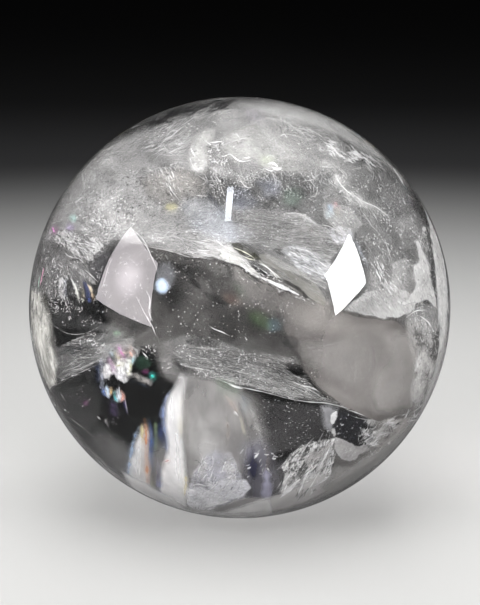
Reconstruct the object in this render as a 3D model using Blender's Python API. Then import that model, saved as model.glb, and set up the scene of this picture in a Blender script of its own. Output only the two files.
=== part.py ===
"""A polished quartz sphere, standing on the small flat ground on its underside.

Metres, +Z up. The origin is the middle of the flat, so the sphere stands on the plane Z = 0.
"""

import math

import bmesh
import bpy
from mathutils import Matrix, Vector

# Driving dimensions
DIAMETER = 0.080
FLAT_DIAMETER = 0.010

# How finely the round surface is faceted
STEPS_AROUND = 80
STEPS_UP = 40

RADIUS = DIAMETER / 2
FLAT_RADIUS = FLAT_DIAMETER / 2
CENTRE_HEIGHT = math.sqrt(RADIUS**2 - FLAT_RADIUS**2)

# Colourless quartz, with a slight grey from the veils inside it
QUARTZ_COLOUR = (0.86, 0.86, 0.85, 1.0)
QUARTZ_IOR = 1.544
POLISH_ROUGHNESS = 0.02


def clear_scene():
    for thing in list(bpy.data.objects):
        bpy.data.objects.remove(thing)


def quartz_material():
    material = bpy.data.materials.new("polished_quartz")
    material.use_nodes = True
    shader = material.node_tree.nodes["Principled BSDF"]
    shader.inputs["Base Color"].default_value = QUARTZ_COLOUR
    shader.inputs["Metallic"].default_value = 0.0
    shader.inputs["Roughness"].default_value = POLISH_ROUGHNESS
    shader.inputs["IOR"].default_value = QUARTZ_IOR
    shader.inputs["Transmission Weight"].default_value = 1.0
    return material


def sphere_profile():
    """Half the outline, from the rim of the flat up to the top, as points in the XZ plane."""
    rim_angle = math.asin(FLAT_RADIUS / RADIUS)
    points = []
    for step in range(STEPS_UP + 1):
        angle = rim_angle + (math.pi - rim_angle) * step / STEPS_UP
        across = RADIUS * math.sin(angle)
        height = CENTRE_HEIGHT - RADIUS * math.cos(angle)
        points.append(Vector((across, 0.0, height)))
    points[0].z = 0.0
    points[-1].x = 0.0
    return points


def turned_mesh(name, profile):
    """The profile turned once round Z, and closed underneath by one flat face."""
    shape = bmesh.new()
    outline = [shape.verts.new(point) for point in profile]
    edges = [shape.edges.new(pair) for pair in zip(outline, outline[1:])]
    bmesh.ops.spin(
        shape,
        geom=outline + edges,
        cent=Vector((0.0, 0.0, 0.0)),
        axis=Vector((0.0, 0.0, 1.0)),
        angle=2 * math.pi,
        steps=STEPS_AROUND,
        use_merge=True,
    )
    bmesh.ops.remove_doubles(shape, verts=shape.verts, dist=RADIUS * 1e-4)
    rim = [edge for edge in shape.edges if edge.is_boundary]
    bmesh.ops.contextual_create(shape, geom=rim)
    bmesh.ops.recalc_face_normals(shape, faces=shape.faces)
    mesh = bpy.data.meshes.new(name)
    shape.to_mesh(mesh)
    shape.free()
    return mesh


def quartz_sphere():
    """The one piece of stone: everything else in it is a flaw of the same crystal."""
    mesh = turned_mesh("quartz_sphere", sphere_profile())
    mesh.materials.append(quartz_material())
    mesh.shade_smooth()
    mesh.set_sharp_from_angle(angle=math.radians(6.5))
    stone = bpy.data.objects.new("quartz_sphere", mesh)
    stone.matrix_world = Matrix.Identity(4)
    bpy.context.scene.collection.objects.link(stone)
    return stone


clear_scene()
quartz_sphere()
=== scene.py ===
"""The looks of the quartz sphere: its polished skin, and the veils, fractures and frost inside it.

Metres, +Z up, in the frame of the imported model. The sphere stands on Z = 0.
"""

import math

import bmesh
import bpy
import numpy as np
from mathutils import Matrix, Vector


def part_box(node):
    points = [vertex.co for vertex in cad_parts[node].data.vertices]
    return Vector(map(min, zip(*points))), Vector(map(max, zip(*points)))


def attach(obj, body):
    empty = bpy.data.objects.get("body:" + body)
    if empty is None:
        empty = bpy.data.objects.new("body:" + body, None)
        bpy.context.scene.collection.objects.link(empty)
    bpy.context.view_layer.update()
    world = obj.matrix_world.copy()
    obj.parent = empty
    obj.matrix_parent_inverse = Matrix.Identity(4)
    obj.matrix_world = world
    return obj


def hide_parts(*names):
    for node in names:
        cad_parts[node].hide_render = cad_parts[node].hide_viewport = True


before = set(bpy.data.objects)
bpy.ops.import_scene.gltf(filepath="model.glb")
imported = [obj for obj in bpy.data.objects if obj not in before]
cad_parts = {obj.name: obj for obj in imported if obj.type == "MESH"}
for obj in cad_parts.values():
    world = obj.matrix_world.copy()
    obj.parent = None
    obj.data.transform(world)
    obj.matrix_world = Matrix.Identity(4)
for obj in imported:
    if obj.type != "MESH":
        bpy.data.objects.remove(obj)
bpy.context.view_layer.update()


# The view. The photograph looks at the stone from in front and a little above, through a long
# lens, with the middle of the stone a few pixels below the middle of the frame.
FRAME_WIDE, FRAME_HIGH = 480, 605
STONE_IN_PHOTO = (239.7, 307.5)
STONE_RADIUS_IN_PHOTO = 210.8
LENS, SENSOR = 0.100, 0.036
NEAREST_SEEN, FARTHEST_SEEN = 0.01, 50.0
LOOKING_DOWN = math.radians(12)

low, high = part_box("quartz_sphere")
STONE_RADIUS = (high.x - low.x) / 2
STONE_CENTRE = Vector((0.0, 0.0, high.z - STONE_RADIUS))
PIXEL_SLOPE = SENSOR / 2 / LENS / (FRAME_HIGH / 2)
STONE_HALF_ANGLE = math.atan(STONE_RADIUS_IN_PHOTO * PIXEL_SLOPE)
CAMERA_DISTANCE = STONE_RADIUS / math.sin(STONE_HALF_ANGLE)

toward_camera = Vector((0.0, -math.cos(LOOKING_DOWN), math.sin(LOOKING_DOWN)))
camera_right = Vector((1.0, 0.0, 0.0))
camera_up = toward_camera.cross(camera_right)
off_middle_x = (STONE_IN_PHOTO[0] - FRAME_WIDE / 2) * PIXEL_SLOPE * CAMERA_DISTANCE
off_middle_y = (STONE_IN_PHOTO[1] - FRAME_HIGH / 2) * PIXEL_SLOPE * CAMERA_DISTANCE
camera_data = bpy.data.cameras.new("photo_view")
camera_data.lens = LENS * 1000
camera_data.sensor_width = SENSOR * 1000
camera_data.clip_start = NEAREST_SEEN
camera_data.clip_end = FARTHEST_SEEN
camera = bpy.data.objects.new("photo_view", camera_data)
camera.location = (
    STONE_CENTRE
    + toward_camera * CAMERA_DISTANCE
    - camera_right * off_middle_x
    + camera_up * off_middle_y
)
camera.rotation_euler = toward_camera.to_track_quat("Z", "Y").to_euler()
bpy.context.scene.collection.objects.link(camera)
bpy.context.scene.camera = camera


# The studio. A pale floor, lit softly from above and from both sides, fades into a dark room.
# Its colour holds painted shade: darker away from the stone, and darker still in reflections and
# where it is seen through the stone.
# Two soft boxes and a tube stand where their reflections show on the front of the stone.
FLOOR_SIZE = 8.0
FLOOR_NEAR = (0.50, 0.498, 0.49, 1.0)
FLOOR_FAR = (0.035, 0.035, 0.036, 1.0)
FLOOR_FADE = (0.10, 0.55)
FLOOR_IN_REFLECTIONS = (0.11, 0.11, 0.11, 1.0)
FLOOR_THROUGH_STONE = (0.006, 0.006, 0.0065, 1.0)
ROOM_DARK, ROOM_PALE = 0.006, 0.10
ROOM_FADE = (0.55, 0.95)


def add_node(nodes, kind, **values):
    """A new shader node of this kind, with these values on its inputs."""
    node = nodes.new("ShaderNode" + kind)
    for label, value in values.items():
        node.inputs[label.replace("_", " ")].default_value = value
    return node


def join_nodes(links, *joins):
    """Links, each from a node's output to another node's input."""
    for start, given, end, taken in joins:
        links.new(start.outputs[given], end.inputs[taken])


def new_finish(name):
    """A new material, with its nodes and links."""
    finish = bpy.data.materials.new(name)
    finish.use_nodes = True
    return finish, finish.node_tree.nodes, finish.node_tree.links


half_floor = FLOOR_SIZE / 2
floor_mesh = bpy.data.meshes.new("floor")
floor_mesh.from_pydata(
    [(x * half_floor, y * half_floor, 0.0) for x, y in ((-1, -1), (1, -1), (1, 1), (-1, 1))],
    [],
    [(0, 1, 2, 3)],
)
floor = bpy.data.objects.new("floor", floor_mesh)
bpy.context.scene.collection.objects.link(floor)
floor_finish, nodes, links = new_finish("pale_floor")
nodes.clear()
floor_place = add_node(nodes, "TexCoord")
floor_away = add_node(nodes, "VectorMath")
floor_away.operation = "LENGTH"
floor_fade = add_node(nodes, "MapRange", From_Min=FLOOR_FADE[0], From_Max=FLOOR_FADE[1])
floor_fade.interpolation_type = "SMOOTHSTEP"
# Painted shade in the floor's colour: it darkens from near to far from the stone, and is painted darker
# for reflected rays and for rays that come through the stone.
floor_painted_falloff = add_node(nodes, "MixRGB", Color1=FLOOR_NEAR, Color2=FLOOR_FAR)
floor_reflected = add_node(nodes, "MixRGB", Color2=FLOOR_IN_REFLECTIONS)
floor_behind = add_node(nodes, "MixRGB", Color2=FLOOR_THROUGH_STONE)
floor_ray = add_node(nodes, "LightPath")
floor_pale = add_node(nodes, "BsdfDiffuse")
floor_out = add_node(nodes, "OutputMaterial")
join_nodes(
    links,
    (floor_place, "Object", floor_away, 0),
    (floor_away, "Value", floor_fade, "Value"),
    (floor_fade, "Result", floor_painted_falloff, "Fac"),
    (floor_painted_falloff, "Color", floor_reflected, "Color1"),
    (floor_ray, "Is Glossy Ray", floor_reflected, "Fac"),
    (floor_reflected, "Color", floor_behind, "Color1"),
    (floor_ray, "Is Transmission Ray", floor_behind, "Fac"),
    (floor_behind, "Color", floor_pale, "Color"),
    (floor_pale, "BSDF", floor_out, "Surface"),
)
floor_mesh.materials.append(floor_finish)

room = bpy.data.worlds.new("room")
room.use_nodes = True
bpy.context.scene.world = room
nodes, links = room.node_tree.nodes, room.node_tree.links
nodes.clear()
room_way = add_node(nodes, "TexCoord")
room_split = add_node(nodes, "SeparateXYZ")
room_height = add_node(nodes, "MapRange", From_Min=ROOM_FADE[0], From_Max=ROOM_FADE[1])
room_height.interpolation_type = "SMOOTHSTEP"
room_height.inputs["To Min"].default_value = ROOM_DARK
room_height.inputs["To Max"].default_value = ROOM_PALE
room_light = add_node(nodes, "Background")
room_out = add_node(nodes, "OutputWorld")
join_nodes(
    links,
    (room_way, "Generated", room_split, "Vector"),
    (room_split, "Z", room_height, "Value"),
    (room_height, "Result", room_light, "Strength"),
    (room_light, "Background", room_out, "Surface"),
)

# Each soft lamp has its place, its width and height, and its power. They are aimed at the stone,
# and are unseen in reflections and through it.
SOFT_LAMPS = {
    "lamp_above": ((0.0, -0.12, 0.50), 0.45, 0.45, 3.0),
    "lamp_left": ((-0.50, -0.50, 0.30), 0.40, 0.50, 3.4),
    "lamp_right": ((0.50, -0.50, 0.30), 0.40, 0.50, 3.4),
    "lamp_front": ((0.0, -0.60, 0.09), 0.50, 0.16, 2.4),
    "lamp_behind": ((0.0, 0.50, 0.45), 0.40, 0.30, 1.4),
}
for lamp_name, (lamp_place, lamp_width, lamp_height, lamp_power) in SOFT_LAMPS.items():
    lamp_data = bpy.data.lights.new(lamp_name, "AREA")
    lamp_data.shape = "RECTANGLE"
    lamp_data.size = lamp_width
    lamp_data.size_y = lamp_height
    lamp_data.energy = lamp_power
    lamp = bpy.data.objects.new(lamp_name, lamp_data)
    lamp.location = lamp_place
    toward_stone = STONE_CENTRE - Vector(lamp_place)
    lamp.rotation_euler = toward_stone.to_track_quat("-Z", "Y").to_euler()
    lamp.visible_camera = False
    lamp.visible_glossy = False
    lamp.visible_transmission = False
    bpy.context.scene.collection.objects.link(lamp)

PANEL_DISTANCE = 0.8
HOT_SPOT_SIZE = 0.22
RIGHT_BOX_IN_PHOTO = [(349, 233), (366, 283), (335, 316), (325, 275)]
LEFT_BOX_IN_PHOTO = [(131, 226), (158, 264), (151, 327), (96, 299)]
TUBE_IN_PHOTO = [(227.6, 187), (234.0, 187), (231.2, 221), (224.8, 221)]
WITHIN_RIM = 0.994


def sight_lines(spots):
    """The unit directions in which the camera sees these photo pixels."""
    across = (spots[:, 0] - FRAME_WIDE / 2) * PIXEL_SLOPE
    up = (FRAME_HIGH / 2 - spots[:, 1]) * PIXEL_SLOPE
    ways = (
        -np.array(toward_camera)
        + across[:, None] * np.array(camera_right)
        + up[:, None] * np.array(camera_up)
    )
    return ways / np.linalg.norm(ways, axis=1)[:, None]


def on_the_skin(spots):
    """Where those lines meet the front of the stone, and which way the skin faces there."""
    offset = np.asarray(spots, float).reshape(-1, 2) - STONE_IN_PHOTO
    reach = np.linalg.norm(offset, axis=1)
    most = STONE_RADIUS_IN_PHOTO * WITHIN_RIM
    pull = np.where(reach > most, most / np.maximum(reach, 1e-9), 1.0)
    ways = sight_lines(STONE_IN_PHOTO + offset * pull[:, None])
    start = np.array(camera.location) - np.array(STONE_CENTRE)
    along = ways @ start
    away = -along - np.sqrt(np.maximum(along**2 - start @ start + STONE_RADIUS**2, 0.0))
    places = start + ways * away[:, None]
    return ways, places + np.array(STONE_CENTRE), places / STONE_RADIUS


def mirrored_panel(name, corners_in_photo, brightness, colour, hot_spot=0.0):
    """A glowing panel whose reflection on the front of the stone fills these photo pixels."""
    ways, places, facing = on_the_skin(corners_in_photo)
    bounced = ways - 2 * np.sum(ways * facing, axis=1)[:, None] * facing
    corners = places + bounced * PANEL_DISTANCE
    middle = corners.mean(axis=0)
    panel_mesh = bpy.data.meshes.new(name)
    panel_mesh.from_pydata(
        [tuple(corner - middle) for corner in corners], [], [tuple(range(len(corners)))]
    )
    panel = bpy.data.objects.new(name, panel_mesh)
    panel.location = middle
    panel.visible_camera = False
    panel.visible_diffuse = False
    panel.visible_shadow = False
    bpy.context.scene.collection.objects.link(panel)
    finish, nodes, links = new_finish(name)
    nodes.clear()
    place = add_node(nodes, "TexCoord")
    far = add_node(nodes, "VectorMath")
    far.operation = "LENGTH"
    spread = add_node(nodes, "MapRange", From_Min=0.0, From_Max=PANEL_DISTANCE * HOT_SPOT_SIZE)
    spread.interpolation_type = "SMOOTHERSTEP"
    spread.inputs["To Min"].default_value = brightness * (1 + hot_spot)
    spread.inputs["To Max"].default_value = brightness
    light = add_node(nodes, "Emission", Color=colour)
    out = add_node(nodes, "OutputMaterial")
    join_nodes(
        links,
        (place, "Object", far, 0),
        (far, "Value", spread, "Value"),
        (spread, "Result", light, "Strength"),
        (light, "Emission", out, "Surface"),
    )
    panel_mesh.materials.append(finish)


mirrored_panel("right_soft_box", RIGHT_BOX_IN_PHOTO, 24.0, (1, 1, 1, 1))
mirrored_panel("left_soft_box", LEFT_BOX_IN_PHOTO, 8.2, (1.0, 0.93, 0.97, 1), hot_spot=0.9)
mirrored_panel("tube", TUBE_IN_PHOTO, 11.0, (0.90, 0.93, 1.0, 1), hot_spot=0.8)

bpy.context.scene.view_settings.view_transform = "Standard"
bpy.context.scene.cycles.transparent_max_bounces = 64
bpy.context.scene.cycles.max_bounces = 16
bpy.context.scene.cycles.transmission_bounces = 12


# The skin. The stone is ground round and polished to a mirror, on clear quartz that bends light.
# Underneath is the small flat that it stands on, ground a little duller than the rest.
QUARTZ_IOR = 1.544
FLAT_RADIUS = 0.005
STEPS_AROUND, STEPS_UP = 384, 192
SHARP_FROM = math.radians(5)
POLISHED_ROUGHNESS, GROUND_ROUGHNESS = 0.0, 0.12
LAMP_LIGHT_THROUGH_SKIN = 0.86

rim_angle = math.asin(FLAT_RADIUS / STONE_RADIUS)
skin_shape = bmesh.new()
rings = []
for step in range(STEPS_UP):
    angle = rim_angle + (math.pi - rim_angle) * step / STEPS_UP
    across = STONE_RADIUS * math.sin(angle)
    height = max(STONE_CENTRE.z - STONE_RADIUS * math.cos(angle), 0.0)
    ways = [2 * math.pi * turn / STEPS_AROUND for turn in range(STEPS_AROUND)]
    rings.append(
        [
            skin_shape.verts.new((across * math.cos(way), across * math.sin(way), height))
            for way in ways
        ]
    )
top = skin_shape.verts.new((0.0, 0.0, STONE_CENTRE.z + STONE_RADIUS))
for lower, upper in zip(rings, rings[1:]):
    for turn in range(STEPS_AROUND):
        after = (turn + 1) % STEPS_AROUND
        skin_shape.faces.new((lower[turn], lower[after], upper[after], upper[turn]))
for turn in range(STEPS_AROUND):
    skin_shape.faces.new((rings[-1][turn], rings[-1][(turn + 1) % STEPS_AROUND], top))
ground_flat = skin_shape.faces.new(tuple(reversed(rings[0])))
ground_flat.material_index = 1
skin_mesh = bpy.data.meshes.new("polished_skin")
skin_shape.to_mesh(skin_mesh)
skin_shape.free()
skin_mesh.shade_smooth()
skin_mesh.set_sharp_from_angle(angle=SHARP_FROM)
skin = bpy.data.objects.new("polished_skin", skin_mesh)
bpy.context.scene.collection.objects.link(skin)


def clear_quartz(name, roughness):
    """Clear quartz as a skin. Lamps shine straight through it, so that they reach the veils."""
    finish, nodes, links = new_finish(name)
    nodes.clear()
    glass = add_node(
        nodes, "BsdfPrincipled", Base_Color=(1.0, 1.0, 1.0, 1.0), Metallic=0.0,
        Roughness=roughness, IOR=QUARTZ_IOR, Transmission_Weight=1.0,
    )
    let_through = add_node(nodes, "BsdfTransparent", Color=(LAMP_LIGHT_THROUGH_SKIN,) * 3 + (1.0,))
    ray = add_node(nodes, "LightPath")
    either = add_node(nodes, "MixShader")
    out = add_node(nodes, "OutputMaterial")
    join_nodes(
        links,
        (ray, "Is Shadow Ray", either, "Fac"),
        (glass, "BSDF", either, 1),
        (let_through, "BSDF", either, 2),
        (either, "Shader", out, "Surface"),
    )
    return finish


skin_mesh.materials.append(clear_quartz("polished_quartz", POLISHED_ROUGHNESS))
skin_mesh.materials.append(clear_quartz("ground_quartz", GROUND_ROUGHNESS))
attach(skin, "root")
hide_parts("quartz_sphere")


# Haze. Very thin milky films hang through the upper half and the middle of the stone. Those in
# front are full of dust. Between those in the middle, dark streaks of painted shade show where
# the clear quartz looks dark.
UNDER_SKIN, BEFORE_BACK = 0.0005, 0.0008
FILM_STEP, FILM_MARGIN, FILM_APRON = 1.6, 3.0, 4.0
WAVES, LONG_WAVE, SHORT_WAVE = 6, 60.0, 22.0
PIN_SOFTNESS = 16.0
VEIL_ROUGHNESS, VEIL_SHINE = 0.6, 0.15
TONE_SCALE, TONE_SPAN = 420.0, (0.35, 0.65)
WHITE = (0.90, 0.90, 0.90)


# The flaws are worked out from where the photograph shows them. The round skin bends each
# line of sight, so a flaw's true place is found by following that line into the stone.
def into_the_stone(spots, deep):
    """The places that the camera sees at these photo pixels, these many mm under the skin."""
    ways, places, facing = on_the_skin(spots)
    slower = 1 / QUARTZ_IOR
    head_on = -np.sum(ways * facing, axis=1)
    turned = slower * head_on - np.sqrt(1 - slower**2 * (1 - head_on**2))
    inward = slower * ways + turned[:, None] * facing
    far_side = -2 * STONE_RADIUS * np.sum(facing * inward, axis=1)
    deep = np.clip(np.asarray(deep, float) / 1000, UNDER_SKIN, far_side - BEFORE_BACK)
    return places + inward * deep[:, None]


def rolling(spots, length, seed):
    """Smooth waves from -0.5 to 0.5 that cross each other, each about this many pixels long."""
    chance = np.random.default_rng(seed)
    total = np.zeros(len(spots))
    for _ in range(WAVES):
        way = chance.uniform(0, 2 * math.pi)
        run = spots @ (math.cos(way), math.sin(way)) / (length * chance.uniform(0.7, 1.6))
        total += np.sin(2 * math.pi * run + chance.uniform(0, 2 * math.pi))
    return total / (2 * WAVES)


def inside_outline(spots, outline):
    """How many pixels inside an outline each spot is, and less than nothing outside it."""
    starts = np.asarray(outline, float)
    ends = np.roll(starts, -1, axis=0)
    nearest = np.full(len(spots), 1e9)
    crossed = np.zeros(len(spots), bool)
    for start, end in zip(starts, ends):
        side = end - start
        share = np.clip(((spots - start) @ side) / max(side @ side, 1e-9), 0, 1)
        gap = np.linalg.norm(spots - start - share[:, None] * side, axis=1)
        nearest = np.minimum(nearest, gap)
        spans = (start[1] > spots[:, 1]) != (end[1] > spots[:, 1])
        rise = side[1] if side[1] else 1e-9
        at = start[0] + (spots[:, 1] - start[1]) / rise * side[0]
        crossed ^= spans & (spots[:, 0] < at)
    return np.where(crossed, nearest, -nearest)


def inside_all(spots, outlines):
    """The same for an outline with holes, which follow it in the list."""
    gap = inside_outline(spots, outlines[0])
    for hole in outlines[1:]:
        gap = np.minimum(gap, -inside_outline(spots, hole))
    return gap


def sheet_through(spots, pins):
    """The flat sheet through pins of (x, y, depth in mm, thickness), and its thickness there."""
    pins = np.asarray(pins, float)
    terms = np.column_stack([pins[:, :2], np.ones(len(pins))])
    slope = np.linalg.lstsq(terms, pins[:, 2], rcond=None)[0]
    deep = np.column_stack([spots, np.ones(len(spots))]) @ slope
    gaps = ((spots[:, None, :] - pins[None, :, :2]) ** 2).sum(axis=2) + PIN_SOFTNESS
    thick = (pins[None, :, 3] / gaps).sum(axis=1) / (1 / gaps).sum(axis=1)
    return deep, thick


def nearer(pins, mm, likely=1.0):
    """Pins this much nearer the camera, for threads and grains on the front of a film."""
    return [(x, y, deep - mm, likely) for x, y, deep, _ in pins]


def new_piece(name, points, faces, finish, inside=(), thick=(), tint=()):
    """A mesh of its own inside the stone, riding with it, with the values its finish reads."""
    mesh = bpy.data.meshes.new(name)
    mesh.from_pydata(np.vstack(points).tolist(), [], np.vstack(faces).tolist())
    mesh.materials.append(finish)
    mesh.shade_smooth()
    for label, numbers in (("inside", inside), ("thick", thick)):
        if len(numbers):
            layer = mesh.attributes.new(label, "FLOAT", "POINT")
            layer.data.foreach_set("value", np.concatenate(numbers).astype(np.float32))
    if len(tint):
        layer = mesh.attributes.new("tint", "FLOAT_COLOR", "POINT")
        layer.data.foreach_set("color", np.vstack(tint).astype(np.float32).ravel())
    piece = bpy.data.objects.new(name, mesh)
    bpy.context.scene.collection.objects.link(piece)
    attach(piece, "root")
    return piece


def films(name, sheets, finish):
    """Thin curved sheets in one mesh. Each has its outline and holes in photo pixels, the pins
    that it passes through, the height of its waves in mm, and its colour."""
    points, faces, inside, thick, tint = [], [], [], [], []
    count = 0
    for seed, (outlines, pins, wave, colour) in enumerate(sheets):
        outer = np.asarray(outlines[0], float)
        corner_low = outer.min(axis=0) - FILM_APRON
        corner_high = outer.max(axis=0) + FILM_APRON
        fine = min(FILM_STEP, (corner_high - corner_low).min() / 10)
        wide, tall = (np.ceil((corner_high - corner_low) / fine) + 1).astype(int)
        row, column = np.mgrid[0:tall, 0:wide]
        spots = corner_low + np.column_stack([column.ravel(), row.ravel()]) * fine
        gap = inside_all(spots, outlines)
        deep, thickness = sheet_through(spots, pins)
        deep = deep + wave * rolling(spots, LONG_WAVE, seed + 7)
        deep = deep + wave * 0.3 * rolling(spots, SHORT_WAVE, seed + 19)
        corner = (np.arange(tall - 1)[:, None] * wide + np.arange(wide - 1)).ravel()
        square = np.column_stack([corner, corner + 1, corner + wide + 1, corner + wide])
        square = square[(gap[square] > -FILM_MARGIN).any(axis=1)]
        used = np.unique(square)
        renumbered = np.zeros(len(spots), int)
        renumbered[used] = np.arange(len(used)) + count
        points.append(into_the_stone(spots[used], deep[used]))
        faces.append(renumbered[square])
        inside.append(gap[used])
        thick.append(thickness[used])
        tint.append(np.tile((*colour, 1.0), (len(used), 1)))
        count += len(used)
    return new_piece(name, points, faces, finish, inside, thick, tint)


def veil_cover():
    """How much a veil hides of what is behind it: its ragged edge, its patches, grain, threads,
    bright specks and dark pits. Light is where the threads and the bright specks are."""
    group = bpy.data.node_groups.new("veil_cover", "ShaderNodeTree")
    group.interface.new_socket("Place", in_out="INPUT", socket_type="NodeSocketVector")
    for label, value in (
        ("Fade", 6.0),
        ("Ragged", 4.0),
        ("Ragged Size", 2.0),
        ("Patch Size", 4.0),
        ("Patch Depth", 0.5),
        ("Patch Contrast", 5.0),
        ("Patch Roughness", 0.65),
        ("Twist", 0.0),
        ("Grain Size", 0.35),
        ("Grain Depth", 0.2),
        ("Thread Size", 3.0),
        ("Thread Width", 0.02),
        ("Threads", 0.0),
        ("Speck Size", 0.4),
        ("Specks", 0.0),
        ("Pits", 0.0),
    ):
        socket = group.interface.new_socket(label, in_out="INPUT", socket_type="NodeSocketFloat")
        socket.default_value = value
    group.interface.new_socket("Cover", in_out="OUTPUT", socket_type="NodeSocketFloat")
    group.interface.new_socket("Light", in_out="OUTPUT", socket_type="NodeSocketFloat")
    nodes, links = group.nodes, group.links
    given = nodes.new("NodeGroupInput")
    result = nodes.new("NodeGroupOutput")
    told = given.outputs

    def sum_of(operation, first, second, clamp=False):
        node = nodes.new("ShaderNodeMath")
        node.operation = operation
        node.use_clamp = clamp
        for socket, value in zip(node.inputs, (first, second)):
            if isinstance(value, (int, float)):
                socket.default_value = value
            else:
                links.new(value, socket)
        return node.outputs[0]

    def pattern(size, detail, roughness, twist=0.0):
        node = nodes.new("ShaderNodeTexNoise")
        node.inputs["Detail"].default_value = detail
        for label, value in (("Roughness", roughness), ("Distortion", twist)):
            if isinstance(value, (int, float)):
                node.inputs[label].default_value = value
            else:
                links.new(value, node.inputs[label])
        links.new(told["Place"], node.inputs["Vector"])
        links.new(sum_of("DIVIDE", 1000.0, size), node.inputs["Scale"])
        return node.outputs["Fac"]

    def sharpened(value, middle, contrast):
        value = sum_of("MULTIPLY", sum_of("SUBTRACT", value, middle), contrast)
        return sum_of("ADD", value, 0.5, clamp=True)

    def share_left(value, amount):
        return sum_of("SUBTRACT", 1.0, sum_of("MULTIPLY", sum_of("SUBTRACT", 1.0, value), amount))

    inside = nodes.new("ShaderNodeAttribute")
    inside.attribute_name = "inside"
    thick = nodes.new("ShaderNodeAttribute")
    thick.attribute_name = "thick"
    tear = pattern(told["Ragged Size"], 4.0, 0.6)
    tear = sum_of("MULTIPLY", sum_of("SUBTRACT", tear, 0.5), told["Ragged"])
    edge = sum_of("ADD", inside.outputs["Fac"], sum_of("MULTIPLY", tear, 2.0))
    edge = sum_of("DIVIDE", edge, told["Fade"], clamp=True)
    patch = pattern(told["Patch Size"], 8.0, told["Patch Roughness"], told["Twist"])
    patch = sharpened(patch, 0.5, told["Patch Contrast"])
    grain = sharpened(pattern(told["Grain Size"], 2.0, 0.5), 0.5, 3.0)
    cover = sum_of("MULTIPLY", share_left(patch, told["Patch Depth"]), thick.outputs["Fac"])
    cover = sum_of("MULTIPLY", cover, share_left(grain, told["Grain Depth"]))
    thread = pattern(told["Thread Size"], 3.0, 0.55, 0.6)
    thread = sum_of("ABSOLUTE", sum_of("SUBTRACT", thread, 0.5), 0.0)
    thread = sum_of("SUBTRACT", 1.0, sum_of("DIVIDE", thread, told["Thread Width"]), clamp=True)
    thread = sum_of("MULTIPLY", sum_of("MULTIPLY", thread, patch), told["Threads"])
    fleck = pattern(told["Speck Size"], 1.0, 0.5)
    speck_from, pit_from, crispness = 0.66, 0.36, 16.0
    speck = sum_of("MULTIPLY", sum_of("SUBTRACT", fleck, speck_from), crispness, clamp=True)
    pit = sum_of("MULTIPLY", sum_of("SUBTRACT", pit_from, fleck), crispness, clamp=True)
    # Light is white where the threads run, and painted highlight where the bright specks stand for
    # glints of trapped bubbles.
    light = sum_of("ADD", thread, sum_of("MULTIPLY", speck, told["Specks"]), clamp=True)
    light = sum_of("MULTIPLY", light, thick.outputs["Fac"])
    cover = sum_of("MULTIPLY", cover, share_left(sum_of("SUBTRACT", 1.0, pit), told["Pits"]))
    cover = sum_of("ADD", cover, light, clamp=True)
    links.new(sum_of("MULTIPLY", cover, edge, clamp=True), result.inputs["Cover"])
    links.new(light, result.inputs["Light"])
    return group


VEIL_COVER = veil_cover()


def veil_finish(name, light_and_dark=(0.85, 1.12), streak=(0.0, 1.0), **cover_values):
    """A veil's material. Its own colour varies over it, and veil_cover says how much it hides.
    A streak is the angle that its pattern runs at in the photograph and how far it is drawn out."""
    finish, nodes, links = new_finish(name)
    shader = nodes["Principled BSDF"]
    shader.inputs["Roughness"].default_value = VEIL_ROUGHNESS
    shader.inputs["Specular IOR Level"].default_value = VEIL_SHINE
    turned = (0.0, -math.radians(streak[0]), 0.0)
    place = add_node(nodes, "TexCoord")
    drawn = add_node(nodes, "Mapping", Rotation=turned, Scale=(streak[1], 1.0, 1.0))
    drawn.vector_type = "TEXTURE"
    cover = add_node(nodes, "Group")
    cover.node_tree = VEIL_COVER
    for label, value in cover_values.items():
        cover.inputs[label.replace("_", " ").title()].default_value = value
    tone = add_node(nodes, "TexNoise", Scale=TONE_SCALE, Detail=6.0, Roughness=0.65)
    shade = add_node(nodes, "MapRange", From_Min=TONE_SPAN[0], From_Max=TONE_SPAN[1])
    shade.inputs["To Min"].default_value = light_and_dark[0]
    shade.inputs["To Max"].default_value = light_and_dark[1]
    tint = add_node(nodes, "Attribute")
    tint.attribute_name = "tint"
    shaded = add_node(nodes, "VectorMath")
    shaded.operation = "SCALE"
    # Painted highlight: the colour is mixed towards white where veil_cover gives light, on the white
    # threads and on the bright specks that stand for glints.
    lit = add_node(nodes, "MixRGB", Color2=(*WHITE, 1.0))
    join_nodes(
        links,
        (place, "Object", drawn, "Vector"),
        (drawn, "Vector", cover, "Place"),
        (drawn, "Vector", tone, "Vector"),
        (tone, "Fac", shade, "Value"),
        (tint, "Color", shaded, "Vector"),
        (shade, "Result", shaded, "Scale"),
        (shaded, "Vector", lit, "Color1"),
        (cover, "Light", lit, "Fac"),
        (lit, "Color", shader, "Base Color"),
        (cover, "Cover", shader, "Alpha"),
    )
    return finish


PALE = (0.72, 0.715, 0.705)
MILK = (0.60, 0.598, 0.59)
GREY = (0.45, 0.446, 0.44)
DARK = (0.012, 0.012, 0.013)
UPPER_HALF = [
    (33, 285), (38, 250), (52, 212), (74, 175), (104, 142), (137, 127), (158, 121), (182, 112),
    (210, 103), (250, 99), (290, 102), (330, 114), (368, 139), (404, 175), (428, 220),
    (442, 275), (444, 320), (432, 350), (408, 322), (345, 313), (300, 294), (262, 278),
    (238, 263), (196, 257), (145, 245), (112, 250), (100, 280), (70, 300), (44, 305),
]
MIDDLE = [
    (100, 285), (110, 254), (150, 240), (196, 252), (225, 254), (262, 270), (300, 284),
    (336, 300), (306, 372), (298, 368), (262, 370), (240, 362), (200, 354), (178, 356),
    (178, 386), (158, 376), (150, 352), (120, 350), (105, 330),
]
MIDDLE_LIGHT = [
    (236, 254), (262, 270), (300, 284), (345, 300), (310, 345), (290, 336), (262, 326),
    (240, 306), (226, 286),
]
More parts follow.
